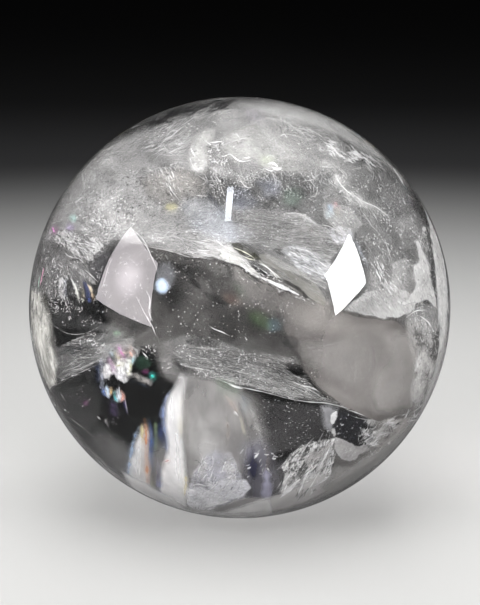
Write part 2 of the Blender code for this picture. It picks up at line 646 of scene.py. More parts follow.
MIDDLE_LOW = [
    (165, 338), (200, 334), (240, 344), (290, 356), (300, 362), (262, 356), (220, 352), (180, 354),
]
HAZE_FRONT = [(80, 230, 13, 0.22), (240, 120, 15, 0.24), (400, 230, 13, 0.09), (240, 240, 21, 0.16)]
haze = veil_finish(
    "haze", (0.92, 1.06), fade=8.0, ragged_size=4.0, patch_size=8.0, patch_depth=0.7,
    patch_contrast=4.0, patch_roughness=0.6, twist=0.8, grain_depth=0.05,
)
dusty = veil_finish(
    "dusty", (0.9, 1.08), fade=9.0, ragged_size=4.0, patch_size=7.0, patch_depth=0.65,
    patch_contrast=4.0, patch_roughness=0.6, twist=1.2, grain_size=0.36, grain_depth=0.15,
    speck_size=0.36, specks=0.7, pits=0.6,
)
MILKY_HAZE = [
    ([UPPER_HALF], nearer(HAZE_FRONT, -20, 0.07), 10, MILK),
    ([UPPER_HALF], nearer(HAZE_FRONT, -36, 0.12), 8, MILK),
    ([MIDDLE],
     [(130, 290, 50, 0.18), (170, 296, 60, 0.03), (225, 285, 62, 0.46), (290, 320, 58, 0.22),
      (215, 318, 60, 0.28), (150, 345, 50, 0.4), (270, 345, 60, 0.18)], 4, (0.6, 0.58, 0.56)),
    ([MIDDLE_LIGHT],
     [(242, 272, 44, 0.38), (320, 312, 36, 0.62), (285, 320, 40, 0.1), (262, 288, 42, 0.36)], 2,
     (0.52, 0.49, 0.465)),
    ([MIDDLE_LOW],
     [(172, 342, 32, 0.5), (290, 358, 36, 0.4), (204, 342, 34, 0.05), (244, 352, 34, 0.45)], 1, GREY),
]
films("milky_haze", MILKY_HAZE, haze)
films("dust", [([UPPER_HALF], HAZE_FRONT, 4, PALE)], dusty)


LINE_STEP = 1.5
RIBBON_FOLD = 0.0475


def uneven(places, size, seed):
    """Smooth random values from 0 to 1 that change over about this size."""
    places = np.asarray(places, float) / size
    cell = np.floor(places).astype(np.int64)
    part = places - cell
    part = part * part * (3 - 2 * part)
    total = np.zeros(len(places))
    steps = np.array([73856093, 19349663, 83492791][: places.shape[1]])
    for corner in np.ndindex(*(2,) * places.shape[1]):
        key = ((cell + corner) * steps).sum(axis=1) + seed * 668265263
        key = (key ^ (key >> 13)) * 1274126177
        key = (key ^ (key >> 16)) * 668265263
        value = ((key >> 7) & 0xFFFF) / 0xFFFF
        total += value * np.prod(np.where(corner, part, 1 - part), axis=1)
    return total


def smooth_line(corners):
    """Evenly spaced points on a smooth curve through these corners."""
    corners = np.asarray(corners, float)
    before = np.vstack([2 * corners[0] - corners[1], corners, 2 * corners[-1] - corners[-2]])
    pieces = []
    for a, b, c, d in zip(before, before[1:], before[2:], before[3:]):
        many = max(2, int(np.linalg.norm(c - b) / LINE_STEP))
        t = np.linspace(0, 1, many, endpoint=False)[:, None]
        pieces.append(
            0.5 * (2 * b + (c - a) * t + (2 * a - 5 * b + 4 * c - d) * t**2
                   + (3 * b - a - 3 * c + d) * t**3)
        )
    return np.vstack([*pieces, corners[-1:]])


def ribbons(name, strokes, finish):
    """Narrow curved slivers in one mesh. Each has the photo pixels that it passes through, its
    greatest width in pixels, its depth in mm or those at both ends, its thickness and its colour."""
    chance = np.random.default_rng(1)
    points, faces, inside, thick, tint = [], [], [], [], []
    count = 0
    for corners, width, depths, density, colour in strokes:
        deep_start, deep_end = np.broadcast_to(depths, 2)
        line = smooth_line(corners)
        many = len(line)
        run = np.gradient(line, axis=0)
        run /= np.linalg.norm(run, axis=1)[:, None]
        aside = np.column_stack([-run[:, 1], run[:, 0]])
        share = np.linspace(0, 1, many)
        swell = np.clip(np.sin(math.pi * np.clip(share, 0.03, 0.97)), 0, 1) ** 0.5
        swell *= 0.55 + 0.75 * uneven(line, 5.0, int(chance.integers(999)))
        half = width / 2 * swell
        deep = deep_start + (deep_end - deep_start) * share
        lift = width * RIBBON_FOLD
        for place, fold in ((-1, 0.0), (0, -lift), (1, 0.0)):
            points.append(into_the_stone(line + aside * (half * place)[:, None], deep + fold))
            inside.append(half if place == 0 else np.zeros(many))
            thick.append(np.full(many, density))
            tint.append(np.tile((*colour, 1.0), (many, 1)))
        start = np.arange(many - 1) + count
        for offset in (0, many):
            faces.append(
                np.column_stack(
                    [start + offset, start + offset + 1, start + offset + many + 1,
                     start + offset + many]
                )
            )
        count += 3 * many
    return new_piece(name, points, faces, finish, inside, thick, tint)


# Painted shade: near-black streaks where the clear quartz between the veils looks dark.
painted_shade_streaked = veil_finish(
    "painted_shade_streaked", streak=(-20.0, 2.0), fade=2.0, ragged=3.0, ragged_size=1.5, patch_size=1.5,
    patch_depth=0.8, patch_roughness=0.8, twist=0.5, grain_depth=0.3,
)
PAINTED_SHADE_STREAKS = [
    ([(170, 262), (180, 267), (192, 271), (200, 270)], 9, 24, 0.55, DARK),
    ([(184, 268), (190, 275), (196, 284), (202, 288)], 7, 24, 0.7, DARK),
    ([(198, 270), (206, 274), (215, 272)], 3, 24, 0.55, DARK),
    ([(204, 292), (212, 298), (222, 302), (229, 305)], 8.5, 24, 0.95, DARK),
    ([(209, 284), (214, 288)], 4, 24, 0.8, DARK),
    ([(217, 268), (222, 270)], 3, 24, 0.8, DARK),
    ([(186, 342), (200, 341), (216, 345)], 10, 13, 0.8, DARK),
    ([(194, 348), (206, 350), (216, 352)], 4.5, 20, 0.55, DARK),
    ([(286, 336), (292, 344), (297, 353)], 15, 24, 0.85, DARK),
    ([(276, 312), (279, 316), (282, 319)], 7, 30, 0.4, DARK),
    ([(286, 365), (294, 368), (301, 372)], 10, 14, 0.8, DARK),
    ([(112, 320), (128, 325), (144, 330)], 8, 20, 0.4, DARK),
]
ribbons("painted_shade_streaks", PAINTED_SHADE_STREAKS, painted_shade_streaked)


# The upper cloud. A milky mass under the top of the stone, with curled lobes and a torn fringe.
# It is fluid, trapped in tiny bubbles where fractures closed while the crystal grew.


def level_pins(outline, deep, thick=1.0):
    """Three pins round the middle of an outline, all at this depth in mm."""
    x, y = np.mean(outline, axis=0)
    return [(x - 3, y, deep, thick), (x + 3, y, deep, thick), (x, y + 4, deep, thick)]


def level(outline, deep, thick, colour, wave=0.2):
    """A small film for films, level at this depth in mm."""
    return [outline], level_pins(outline, deep, thick), wave, colour


CLOUD = [
    (150, 120), (182, 111), (205, 104), (240, 100), (280, 102), (316, 113), (334, 126),
    (346, 144), (350, 158), (340, 172), (322, 176), (300, 182), (284, 172), (262, 178),
    (250, 188), (236, 184), (222, 180), (206, 176), (188, 172), (176, 168), (160, 160),
    (146, 146),
]
CLOUD_BODY = [
    (222, 134), (234, 126), (250, 120), (262, 110), (284, 106), (308, 116), (326, 134),
    (332, 154), (316, 170), (288, 178), (266, 172), (252, 164), (238, 166), (226, 160), (219, 148),
]
LOBE = [
    (188, 150), (192, 140), (199, 132), (208, 127), (217, 129), (214, 142), (210, 150),
    (211, 158), (209, 168), (207, 175), (197, 177), (189, 171), (186, 160),
]
SHOULDER = [(208, 114), (222, 106), (240, 108), (244, 120), (238, 130), (222, 132), (212, 126)]
TOOTH = [
    (157, 170), (164, 167), (173, 170), (179, 177), (180, 187), (177, 198), (171, 193), (164, 182),
]
NETTING = [(207, 143), (222, 142), (227, 152), (225, 168), (212, 171), (207, 158)]
FRINGE = [
    (196, 168), (225, 168), (262, 170), (300, 174), (330, 168), (346, 176), (322, 190),
    (290, 190), (262, 194), (236, 196), (212, 196),
]
FRINGE_FRONT = [(200, 170, 13, 1.0), (330, 170, 15, 1.0), (262, 190, 12, 0.8)]
NETTING_FRONT = [(207, 145, 12, 1.0), (225, 150, 12, 1.0), (215, 170, 11, 1.0)]
CLOUD_FRONT = [(160, 140, 15, 0.03), (240, 110, 18, 0.22), (330, 150, 18, 0.34), (240, 175, 13, 0.42)]
LOBE_WHITE = (0.56, 0.557, 0.54)
cloudy = veil_finish(
    "cloudy", fade=8.0, ragged=7.0, ragged_size=3.0, patch_size=6.0, patch_depth=0.65,
    patch_roughness=0.56, twist=0.7, grain_size=0.36, grain_depth=0.12, thread_size=5.0,
    thread_width=0.006, threads=0.35, specks=0.6, pits=0.6,
)
curdled = veil_finish(
    "curdled", fade=7.0, ragged=5.0, ragged_size=2.4, patch_size=3.5, patch_depth=0.3,
    patch_contrast=4.0, patch_roughness=0.62, twist=1.5, grain_size=0.36, grain_depth=0.1,
    thread_width=0.01, threads=0.5, specks=0.35, pits=0.35,
)
thread = veil_finish(
    "thread", (0.9, 1.1), fade=0.8, ragged=0.7, ragged_size=0.7, patch_size=1.0,
    patch_depth=0.55, patch_roughness=0.8,
)
stroke = veil_finish(
    "stroke", (0.92, 1.08), fade=0.35, ragged=0.4, ragged_size=0.8, patch_size=1.2,
    patch_depth=0.35, patch_contrast=4.0, patch_roughness=0.7, grain_depth=0.1,
)
UPPER_CLOUD = [
    ([CLOUD], nearer(CLOUD_FRONT, -18, 0.18), 8, MILK),
    ([CLOUD], CLOUD_FRONT, 6, PALE),
]
films("upper_cloud", UPPER_CLOUD, cloudy)
CLOUD_LOBES = [
    ([CLOUD_BODY],
     [(235, 140, 16, 0.85), (318, 145, 18, 0.05), (262, 162, 14, 0.95), (275, 115, 20, 0.12)], 3,
     LOBE_WHITE),
    ([LOBE], [(200, 140, 13, 0.85), (212, 135, 14, 0.7), (200, 170, 11, 0.95)], 1, LOBE_WHITE),
    ([TOOTH], [(160, 170, 13, 0.3), (178, 180, 14, 0.45), (176, 196, 12, 0.65)], 0.6, MILK),
    level(SHOULDER, 16, 0.4, MILK),
    level([(188, 112), (206, 108), (214, 116), (206, 126), (190, 124)], 15, 0.5, GREY),
    level([(242, 106), (262, 106), (266, 116), (262, 126), (246, 124)], 14, 0.5, (0.4, 0.38, 0.41)),
    level([(244, 160), (256, 158), (258, 166), (250, 172), (243, 168)], 11.5, 0.7, (0.3, 0.295, 0.3)),
    level([(254, 180), (268, 176), (284, 182), (282, 198), (262, 200)], 11.5, 0.5, (0.16, 0.17, 0.21)),
]
films("cloud_lobes", CLOUD_LOBES, curdled)
CLOUD_CURLS = [
    ([(195, 139), (191, 148), (190, 158), (193, 167)], 1, 12, 0.6, WHITE),
    ([(191, 148), (193, 153), (197, 158)], 2.2, 10.6, 0.9, WHITE),
    ([(191, 162), (194, 168), (199, 172)], 1.2, 10.6, 0.8, WHITE),
    ([(196, 160), (195, 165), (199, 169), (204, 166)], 1, 10.6, 0.8, WHITE),
    ([(203, 139), (207, 142), (211, 145)], 1.4, 11, 0.8, WHITE),
    ([(209, 143), (216, 142), (224, 141)], 1.4, 12, 0.9, WHITE),
    ([(219, 156), (225, 156), (230, 154), (235, 158), (240, 161), (247, 161), (254, 159)], 1.3, 11,
     0.9, WHITE),
    ([(243, 157), (247, 158), (251, 157)], 1.6, 11, 0.9, WHITE),
    ([(232, 135), (236, 134), (240, 138)], 1.8, 11, 0.8, WHITE),
    ([(280, 137), (284, 134), (287, 138)], 1.4, 11, 0.7, WHITE),
    ([(329, 144), (334, 149), (340, 156)], 2, 11, 0.8, WHITE),
    ([(197, 165), (203, 165), (206, 161)], 1.2, 11, 0.8, WHITE),
    ([(267, 164), (273, 163), (278, 167)], 3.4, 10.8, 0.8, WHITE),
    ([(272, 167), (277, 169), (282, 168)], 2.6, 10.8, 0.8, WHITE),
    ([(264, 168), (268, 170), (274, 171)], 1.4, 10.8, 0.8, WHITE),
    ([(266, 159), (268, 156), (272, 155), (275, 158)], 1.3, 12, 0.8, WHITE),
    ([(221, 146), (231, 142), (240, 139), (250, 138)], 1, 13, 0.7, WHITE),
    ([(239, 177), (243, 184), (249, 188), (254, 184)], 1.6, 13, 0.8, PALE),
    ([(214, 172), (218, 179), (222, 185)], 1.6, 13, 0.85, PALE),
    ([(220, 184), (223, 192), (225, 198)], 1.4, 13, 0.7, PALE),
    ([(272, 172), (275, 181), (277, 192)], 1.2, 13, 0.75, PALE),
    ([(278, 176), (279, 184), (276, 190)], 1, 13, 0.7, PALE),
    ([(300, 184), (304, 181), (311, 180), (318, 176)], 1.6, 14, 0.7, PALE),
    ([(320, 166), (328, 167), (336, 167)], 1.2, 14, 0.7, PALE),
    ([(168, 182), (171, 190), (177, 197)], 1.2, 11, 0.8, WHITE),
    ([(171, 171), (173, 174), (174, 179)], 2.2, 11, 0.8, WHITE),
    ([(296, 121), (306, 128), (318, 134), (328, 142)], 1, 13, 0.8, PALE),
    ([(250, 124), (268, 118), (284, 122), (300, 131)], 1, 13, 0.6, PALE),
]
ribbons("cloud_curls", CLOUD_CURLS, stroke)


TRIES = 60
WISP_POINTS, WISP_WIDTHS = 7, (0.5, 1.3)


def scattered(chance, outlines, pins, many, clump, seed):
    """Random spots inside an outline, thicker in some clumps than in others."""
    outer = np.asarray(outlines[0], float)
    spots = np.zeros((0, 2))
    for _ in range(TRIES):
        tried = chance.uniform(outer.min(axis=0), outer.max(axis=0), (many * 2, 2))
        gap = inside_all(tried, outlines) + uneven(tried, 7.0, seed + 3) * 6 - 3
        likely = np.clip(uneven(tried, clump, seed) * 2.6 - 0.8, 0.0, 1.0)
        likely *= sheet_through(tried, pins)[1]
        spots = np.vstack([spots, tried[(gap > 0) & (chance.random(len(tried)) < likely)]])
        if len(spots) >= many:
            break
    return spots[:many]


def wisps(name, fields, finish, seed):
    """Many short curved threads in one mesh. Each field has its outline and holes, pins, how
    many, their shortest and longest length and their width in pixels, the angle that they run
    at and how far it varies, their bend in degrees, the size of their clumps, how far off the
    sheet they lie in mm, their thickness and their colour."""
    chance = np.random.default_rng(seed)
    points, faces, thick, tint = [], [], [], []
    count = 0
    share = np.linspace(-0.5, 0.5, WISP_POINTS)
    taper = np.sqrt(np.cos(math.pi * np.clip(share, -0.47, 0.47)))
    for field in fields:
        outlines, pins, many, lengths, width, runs, bend, clump, spread, density, colour = field
        spots = scattered(chance, outlines, pins, many, clump, seed)
        many = len(spots)
        length = chance.uniform(*lengths, (many, 1))
        heading = math.radians(runs[0]) + chance.normal(0, math.radians(runs[1]), (many, 1))
        heading = heading + chance.normal(0, math.radians(bend), (many, 1)) * share * 2
        step = np.stack([np.cos(heading), -np.sin(heading)], axis=2)
        step = step * (length / (WISP_POINTS - 1))[:, :, None]
        path = spots[:, None, :] + np.cumsum(step, axis=1)
        path -= path.mean(axis=1, keepdims=True) - spots[:, None, :]
        aside = np.stack([np.sin(heading), np.cos(heading)], axis=2)
        half = width / 2 * chance.uniform(*WISP_WIDTHS, (many, 1)) * taper
        deep = sheet_through(path.reshape(-1, 2), pins)[0].reshape(many, WISP_POINTS)
        deep = deep + chance.normal(0, spread, (many, 1))
        for hand in (-1, 1):
            edge = path + aside * (half * hand)[:, :, None]
            points.append(into_the_stone(edge.reshape(-1, 2), deep.ravel()))
        start = np.arange(many)[:, None] * WISP_POINTS + np.arange(WISP_POINTS - 1)
        start = start.ravel() + count
        other = start + many * WISP_POINTS
        faces.append(np.column_stack([start, start + 1, other + 1, other]))
        weight = density * chance.uniform(0.5, 1.0, many)
        thick.append(np.tile(np.repeat(weight, WISP_POINTS), 2))
        tint.append(np.tile((*colour, 1.0), (2 * many * WISP_POINTS, 1)))
        count += 2 * many * WISP_POINTS
    return new_piece(name, points, faces, finish, [np.full(count, 9.0)], thick, tint)


CLOUD_THREADS = [
    ([FRINGE], FRINGE_FRONT, 110, (3, 16), 0.55, (-68, 30), 26, 9, 1.5, 0.8, WHITE),
    ([FRINGE], nearer(FRINGE_FRONT, 1), 60, (3, 12), 0.8, (-66, 30), 26, 9, 1.5, 0.7, DARK),
    ([CLOUD], nearer(CLOUD_FRONT, 1), 130, (4, 22), 0.45, (-10, 45), 20, 10, 2.5, 0.6, WHITE),
    ([CLOUD], nearer(CLOUD_FRONT, 2), 60, (3, 12), 0.7, (10, 45), 20, 10, 2.5, 0.5, DARK),
    ([[(268, 112), (300, 120), (336, 142), (348, 156), (336, 160), (306, 140), (280, 124)]],
     [(275, 115, 13, 1), (340, 150, 11, 1), (300, 130, 12, 1)], 60, (3, 16), 0.5, (-33, 18), 30, 8, 1,
     0.6, WHITE),
    ([[(300, 116), (330, 134), (340, 150), (326, 150), (304, 134)]],
     [(305, 120, 12, 1), (338, 148, 11, 1), (305, 136, 12, 1)], 16, (5, 16), 0.7, (-33, 14), 24, 8,
     0.6, 0.5, DARK),
    ([NETTING], NETTING_FRONT, 46, (2, 7), 0.7, (40, 60), 60, 5, 0.4, 0.9, WHITE),
    ([NETTING], nearer(NETTING_FRONT, -0.4), 40, (2, 6), 0.8, (40, 60), 60, 5, 0.4, 0.7, DARK),
    ([[(140, 126), (158, 118), (182, 109), (208, 103), (232, 100), (232, 106), (205, 111), (184, 116),
       (165, 122), (150, 128)]], [(145, 126, 5, 1), (230, 103, 6, 1), (190, 112, 8, 1)], 120, (4, 16),
     1.3, (20, 9), 14, 7, 0.8, 0.9, DARK),
    ([TOOTH], [(160, 170, 12, 1), (178, 180, 13, 1), (176, 196, 11, 1)], 26, (3, 9), 0.7, (-62, 16),
     20, 5, 0.4, 0.9, WHITE),
]
wisps("cloud_threads", CLOUD_THREADS, thread, seed=5)


# The left veil. Fine torn wisps and pits run up from the left rim to the cloud, round a small
# pocket where dark brush-like marks fall away.
LEFT_VEIL = [
    (40, 240), (50, 210), (70, 176), (98, 148), (118, 136), (140, 128), (165, 121), (186, 116),
    (200, 124), (190, 142), (186, 160), (180, 170), (166, 166), (158, 178), (144, 184),
    (146, 192), (156, 202), (168, 206), (182, 202), (196, 198), (216, 212), (232, 226),
    (238, 240), (230, 250), (205, 240), (160, 244), (120, 240), (104, 244), (84, 238),
    (62, 230), (52, 244),
]
LEFT_NET = [(76, 196), (98, 190), (120, 200), (124, 226), (104, 240), (84, 236), (72, 218)]
LEFT_BUNDLE = [(146, 124), (190, 118), (196, 134), (186, 150), (160, 152), (146, 146)]
POCKET = [
    (138, 176), (150, 170), (160, 168), (182, 166), (200, 172), (214, 186), (206, 200),
    (186, 204), (164, 206), (148, 198), (140, 188),
]
VEIL_FRONT = [
    (60, 220, 11, 0.14), (150, 140, 14, 0.02), (190, 225, 20, 0.30), (100, 165, 12, 0.26),
    (100, 225, 12, 0.42),
]
POCKET_FRONT = [(145, 180, 12, 0.4), (205, 180, 14, 0.45), (170, 204, 12, 0.4), (175, 170, 13, 0.5)]
wispy = veil_finish(
    "wispy", streak=(20.0, 1.5), fade=7.0, ragged=6.0, ragged_size=3.0, patch_size=5.5,
    patch_depth=0.6, patch_roughness=0.57, twist=0.6, grain_size=0.34, grain_depth=0.15,
    thread_size=3.2, thread_width=0.008, threads=0.25, speck_size=0.38, specks=0.7, pits=0.7,
)
LEFT_VEIL_SHEETS = [
    ([LEFT_VEIL], nearer(VEIL_FRONT, -22, 0.22), 7, MILK),
    ([LEFT_VEIL], VEIL_FRONT, 5, PALE),
    ([POCKET], POCKET_FRONT, 1, (0.42, 0.4, 0.375)),
    ([[(178, 196), (204, 193), (228, 206), (242, 228), (238, 244), (214, 242), (190, 232), (180, 214)]],
     [(186, 204, 16, 0.34), (230, 226, 17, 0.28), (196, 222, 16, 0.2)], 0.8, (0.5, 0.55, 0.64)),
    ([[(226, 184), (252, 186), (262, 204), (240, 214), (224, 206)]],
     [(228, 190, 15, 0.25), (256, 196, 15, 0.25), (240, 210, 16, 0.25)], 0.8, (0.3, 0.36, 0.56)),
]
films("left_veil", LEFT_VEIL_SHEETS, wispy)
LEFT_THREADS = [
    ([LEFT_VEIL], nearer(VEIL_FRONT, 1), 240, (2, 12), 0.5, (28, 34), 14, 7, 2, 0.62, WHITE),
    ([LEFT_VEIL], nearer(VEIL_FRONT, 2), 170, (1.5, 7), 0.7, (28, 38), 14, 7, 2, 0.6, DARK),
    ([LEFT_NET], nearer(VEIL_FRONT, 2), 110, (2, 7), 0.5, (0, 90), 90, 9, 0.8, 0.9, WHITE),
    ([LEFT_NET], nearer(VEIL_FRONT, 3), 90, (2, 6), 0.7, (0, 90), 90, 9, 0.8, 0.8, DARK),
    ([LEFT_BUNDLE], nearer(VEIL_FRONT, 2), 44, (5, 22), 0.55, (28, 11), 16, 7, 1, 0.8, WHITE),
    ([LEFT_BUNDLE], nearer(VEIL_FRONT, 3), 34, (4, 14), 0.8, (28, 14), 16, 7, 1, 0.8, DARK),
    ([[(104, 146), (140, 132), (190, 112), (196, 124), (150, 144), (130, 158), (112, 164)]],
     [(110, 150, 8, 1), (190, 114, 11, 1), (125, 158, 8, 1)], 30, (6, 22), 0.7, (30, 9), 16, 8, 0.6,
     0.7, DARK),
    ([[(138, 178), (152, 172), (166, 180), (178, 196), (164, 206), (148, 198)]],
     nearer(POCKET_FRONT, 1), 70, (2, 9), 1, (-32, 20), 30, 6, 0.6, 0.6, DARK),
    ([POCKET], nearer(POCKET_FRONT, 2), 36, (2, 10), 0.6, (-30, 22), 24, 6, 0.6, 0.8, PALE),
]
wisps("left_threads", LEFT_THREADS, thread, seed=6)


# The upper crack. A wide healed fracture dips away behind a bright broken lip, whose white edge
# is a painted highlight. Its film is torn into flowing streaks, and black gaps of painted shade
# show where the light is turned back.
CRACK = [
    (104, 245), (120, 240), (145, 246), (174, 252), (196, 258), (212, 258), (225, 263),
    (236, 264), (246, 270), (262, 253), (275, 249), (290, 250), (310, 255), (330, 264),
    (342, 250), (352, 236), (336, 230), (318, 223), (303, 214), (286, 211), (262, 207),
    (236, 204), (216, 204), (200, 196), (186, 196), (172, 206), (150, 202), (128, 208), (108, 222),
]
CRACK_FRONT = [
    (120, 242, 20, 0.24), (225, 258, 20, 0.44), (345, 250, 24, 0.82), (200, 200, 52, 0.18),
    (270, 210, 50, 0.48), (300, 225, 40, 0.85),
]
TEAR = [(235, 243), (242, 243), (250, 247), (257, 253), (261, 259), (253, 257), (244, 251)]
torn = veil_finish(
    "torn", streak=(-13.0, 1.7), fade=3.0, ragged=2.5, ragged_size=1.6, patch_size=1.9,
    patch_depth=0.72, patch_contrast=4.5, patch_roughness=0.76, twist=0.8, grain_size=0.4,
    grain_depth=0.45, thread_size=2.2, thread_width=0.015, threads=0.2, specks=0.8, pits=0.9,
)
lipped = veil_finish(
    "lipped", streak=(-16.0, 5.0), fade=1.2, ragged=1.0, ragged_size=1.4, patch_size=1.5,
    patch_depth=0.55, patch_contrast=4.0, patch_roughness=0.7, twist=0.4, grain_depth=0.1,
    thread_size=1.5, thread_width=0.05, threads=0.5,
)
# Near-black films of painted shade, for the gaps and lenses where the light is turned back.
gap = veil_finish(
    "black_gap_painted_shade", fade=1.2, ragged=1.0, ragged_size=0.8, patch_size=1.0, patch_depth=0.35,
)
films("upper_crack", [([CRACK, TEAR], CRACK_FRONT, 3, PALE)], torn)
CRACK_LIP = [
    ([[(120, 242), (145, 246), (174, 252), (196, 258), (206, 257), (212, 257), (225, 262), (237, 265),
       (247, 271), (258, 274), (250, 262), (240, 254), (236, 246), (226, 236), (205, 230), (180, 230),
       (150, 234)]],
     [(145, 246, 18, 0.25), (174, 252, 18, 0.4), (212, 256, 18, 0.75), (238, 263, 18, 0.95),
      (228, 240, 20, 0.3), (170, 232, 20, 0), (205, 232, 20, 0.05)], 0.6, PALE),
    ([[(262, 249), (275, 252), (288, 258), (300, 266), (318, 276), (330, 284), (326, 290), (310, 282),
       (296, 274), (280, 268), (266, 258)]],
     [(265, 252, 23, 0.25), (328, 286, 20, 0.5), (300, 266, 22, 0.4)], 1, PALE),
    level([(222, 247), (232, 246), (240, 256), (250, 264), (262, 276), (256, 279), (246, 271),
           (238, 265), (226, 262), (218, 256)], 15.8, 0.55, (0.72, 0.715, 0.68)),
    level([(222, 224), (240, 222), (256, 232), (248, 242), (226, 242)], 16, 0.14, (0.6, 0.64, 0.72)),
]
films("crack_lip", CRACK_LIP, lipped)
CRACK_FEATHERS = [
    ([[(280, 248), (294, 243), (308, 247), (320, 253), (336, 264), (336, 285), (322, 280), (306, 274),
       (295, 267), (284, 257)]],
     [(290, 252, 19, 0.7), (330, 275, 18, 1), (310, 250, 22, 0.55), (312, 268, 19, 0.85)], 0.6,
     (0.8, 0.81, 0.84)),
    level([(324, 230), (338, 224), (354, 227), (355, 242), (346, 250), (334, 244)], 18, 0.7,
          (0.78, 0.78, 0.82)),
]
films("crack_feathers", CRACK_FEATHERS, torn)
CRACK_POCKET = [
    ([[(258, 253), (270, 254), (286, 262), (300, 270), (316, 283), (326, 298), (326, 308), (308, 300),
       (294, 290), (280, 282), (266, 270), (258, 262)]],
     [(265, 258, 26, 0.8), (322, 300, 24, 0.8), (300, 272, 28, 0.7)], 1, (0.38, 0.37, 0.33)),
]
films("crack_pocket", CRACK_POCKET, lipped)
# A dark lens of painted shade in the crack.
CRACK_LENS_PAINTED_SHADE = [
    level([(229, 242), (238, 242.5), (247, 247), (256, 253), (263, 261), (253, 260), (243, 256),
           (234, 250)], 15.5, 1, (0.03, 0.03, 0.022)),
]
films("crack_lens_painted_shade", CRACK_LENS_PAINTED_SHADE, gap)
# Dark lines of painted shade along and across the cracks.
CRACK_GAPS_PAINTED_SHADE = [
    ([(223, 262), (236, 265.5), (242, 268.5), (248, 273), (256, 279), (266, 285)], 4.2, 14, 1, DARK),
    ([(249, 265), (257, 269), (266, 274), (276, 279)], 4.4, 14, 1, DARK),
    ([(276, 278), (288, 283), (299, 289.5), (307, 297), (315, 302)], 6, 14, 1, DARK),
    ([(262, 248), (268, 252), (275, 256)], 3.6, 17, 0.95, DARK),
    ([(150, 249), (170, 254), (190, 259), (210, 260)], 1.4, 17, 0.6, DARK),
    ([(168, 190), (172, 194), (177, 199)], 2.2, 11, 0.8, DARK),
    ([(206, 193), (212, 199), (218, 206), (224, 213)], 6.5, 14, 0.5, (0.02, 0.025, 0.04)),
    ([(192, 205), (200, 208), (208, 210)], 1.2, 13, 0.7, DARK),
    ([(186, 231), (196, 233), (206, 234)], 1.2, 17, 0.7, DARK),
    ([(303, 130), (312, 134), (320, 138), (328, 143)], 1.3, 12, 0.6, DARK),
    ([(104, 154), (112, 152), (122, 149)], 1.2, 8, 0.55, DARK),
    ([(128, 182), (134, 188), (140, 192)], 1.8, 11, 0.6, DARK),
    ([(70, 262), (80, 264), (92, 264)], 1.4, 10, 0.8, DARK),
    ([(60, 243), (72, 251), (86, 259)], 1, 10, 0.7, DARK),
    ([(66, 240), (78, 247), (90, 255)], 1, 10, 0.7, DARK),
]
ribbons("crack_gaps_painted_shade", CRACK_GAPS_PAINTED_SHADE, gap)
# White strokes along the broken lip are painted highlights; paler lines run across the crack.
CRACK_EDGE = [
    ([(238, 263), (246, 269), (254, 274), (262, 279)], 1.2, 13.4, 0.9, WHITE),
    ([(260, 277), (270, 281.5), (280, 286), (290, 290.5), (299, 295)], 3.8, 13.4, 1, WHITE),
    ([(233, 247.5), (240, 250), (248, 254), (255, 259)], 1.3, 13.4, 1, (0.8, 0.8, 0.66)),
    ([(240, 255.5), (247, 258), (255, 260.5)], 1.3, 13.4, 0.9, (0.62, 0.62, 0.5)),
    ([(259, 262), (268, 268), (278, 278)], 1.2, 13.4, 0.9, WHITE),
    ([(252, 264), (262, 270), (272, 277)], 0.9, 13.4, 0.8, PALE),
    ([(286, 249), (300, 249), (312, 254), (322, 264)], 0.8, 15.5, 0.7, WHITE),
    ([(294, 262), (305, 267), (318, 273), (330, 277)], 1, 15.5, 0.7, WHITE),
    ([(312, 258), (320, 262), (330, 270)], 1.2, 15.5, 0.8, WHITE),
    ([(212, 247), (222, 251), (232, 257), (239, 264)], 1.8, 16, 0.8, WHITE),
    ([(196, 240), (208, 241), (220, 242)], 1, 16, 0.7, PALE),
    ([(216, 240), (222, 245), (228, 249)], 1.6, 16, 0.7, WHITE),
    ([(200, 246), (214, 249), (226, 254)], 1.2, 16, 0.6, PALE),
    ([(145, 246), (160, 249), (174, 252), (190, 257), (206, 257)], 1.2, 17, 0.7, PALE),
    ([(256, 262), (268, 268), (280, 278), (292, 288)], 1.6, 17, 0.75, PALE),
    ([(285, 214), (294, 213), (303, 215), (310, 219), (316, 223)], 1.4, (24, 23), 0.7, PALE),
    ([(318, 225), (328, 226), (338, 231), (352, 236)], 1.6, (22, 20), 0.8, PALE),
    ([(336, 231), (344, 236), (350, 240)], 2, 20, 0.7, PALE),
    ([(310, 183), (311, 192), (310, 202), (304, 209), (296, 213)], 1, (20, 22), 0.5, PALE),
]
ribbons("crack_edge", CRACK_EDGE, stroke)
GRAINY_BAND = [
    (226, 178), (262, 170), (300, 176), (328, 194), (338, 222), (316, 228), (290, 222), (262, 210),
    (236, 208), (222, 196),
]
GRAINY_FRONT = [(240, 180, 16, 1.0), (330, 222, 18, 0.8), (300, 180, 15, 1.0)]
RAGGED_LIP = [
    (236, 262), (250, 264), (266, 270), (284, 282), (302, 296), (318, 304), (300, 300), (280, 290),
    (262, 282), (244, 272),
]
RAGGED_FRONT = [(240, 264, 13.2, 1.0), (312, 302, 13.2, 1.0), (275, 278, 13.2, 1.0)]
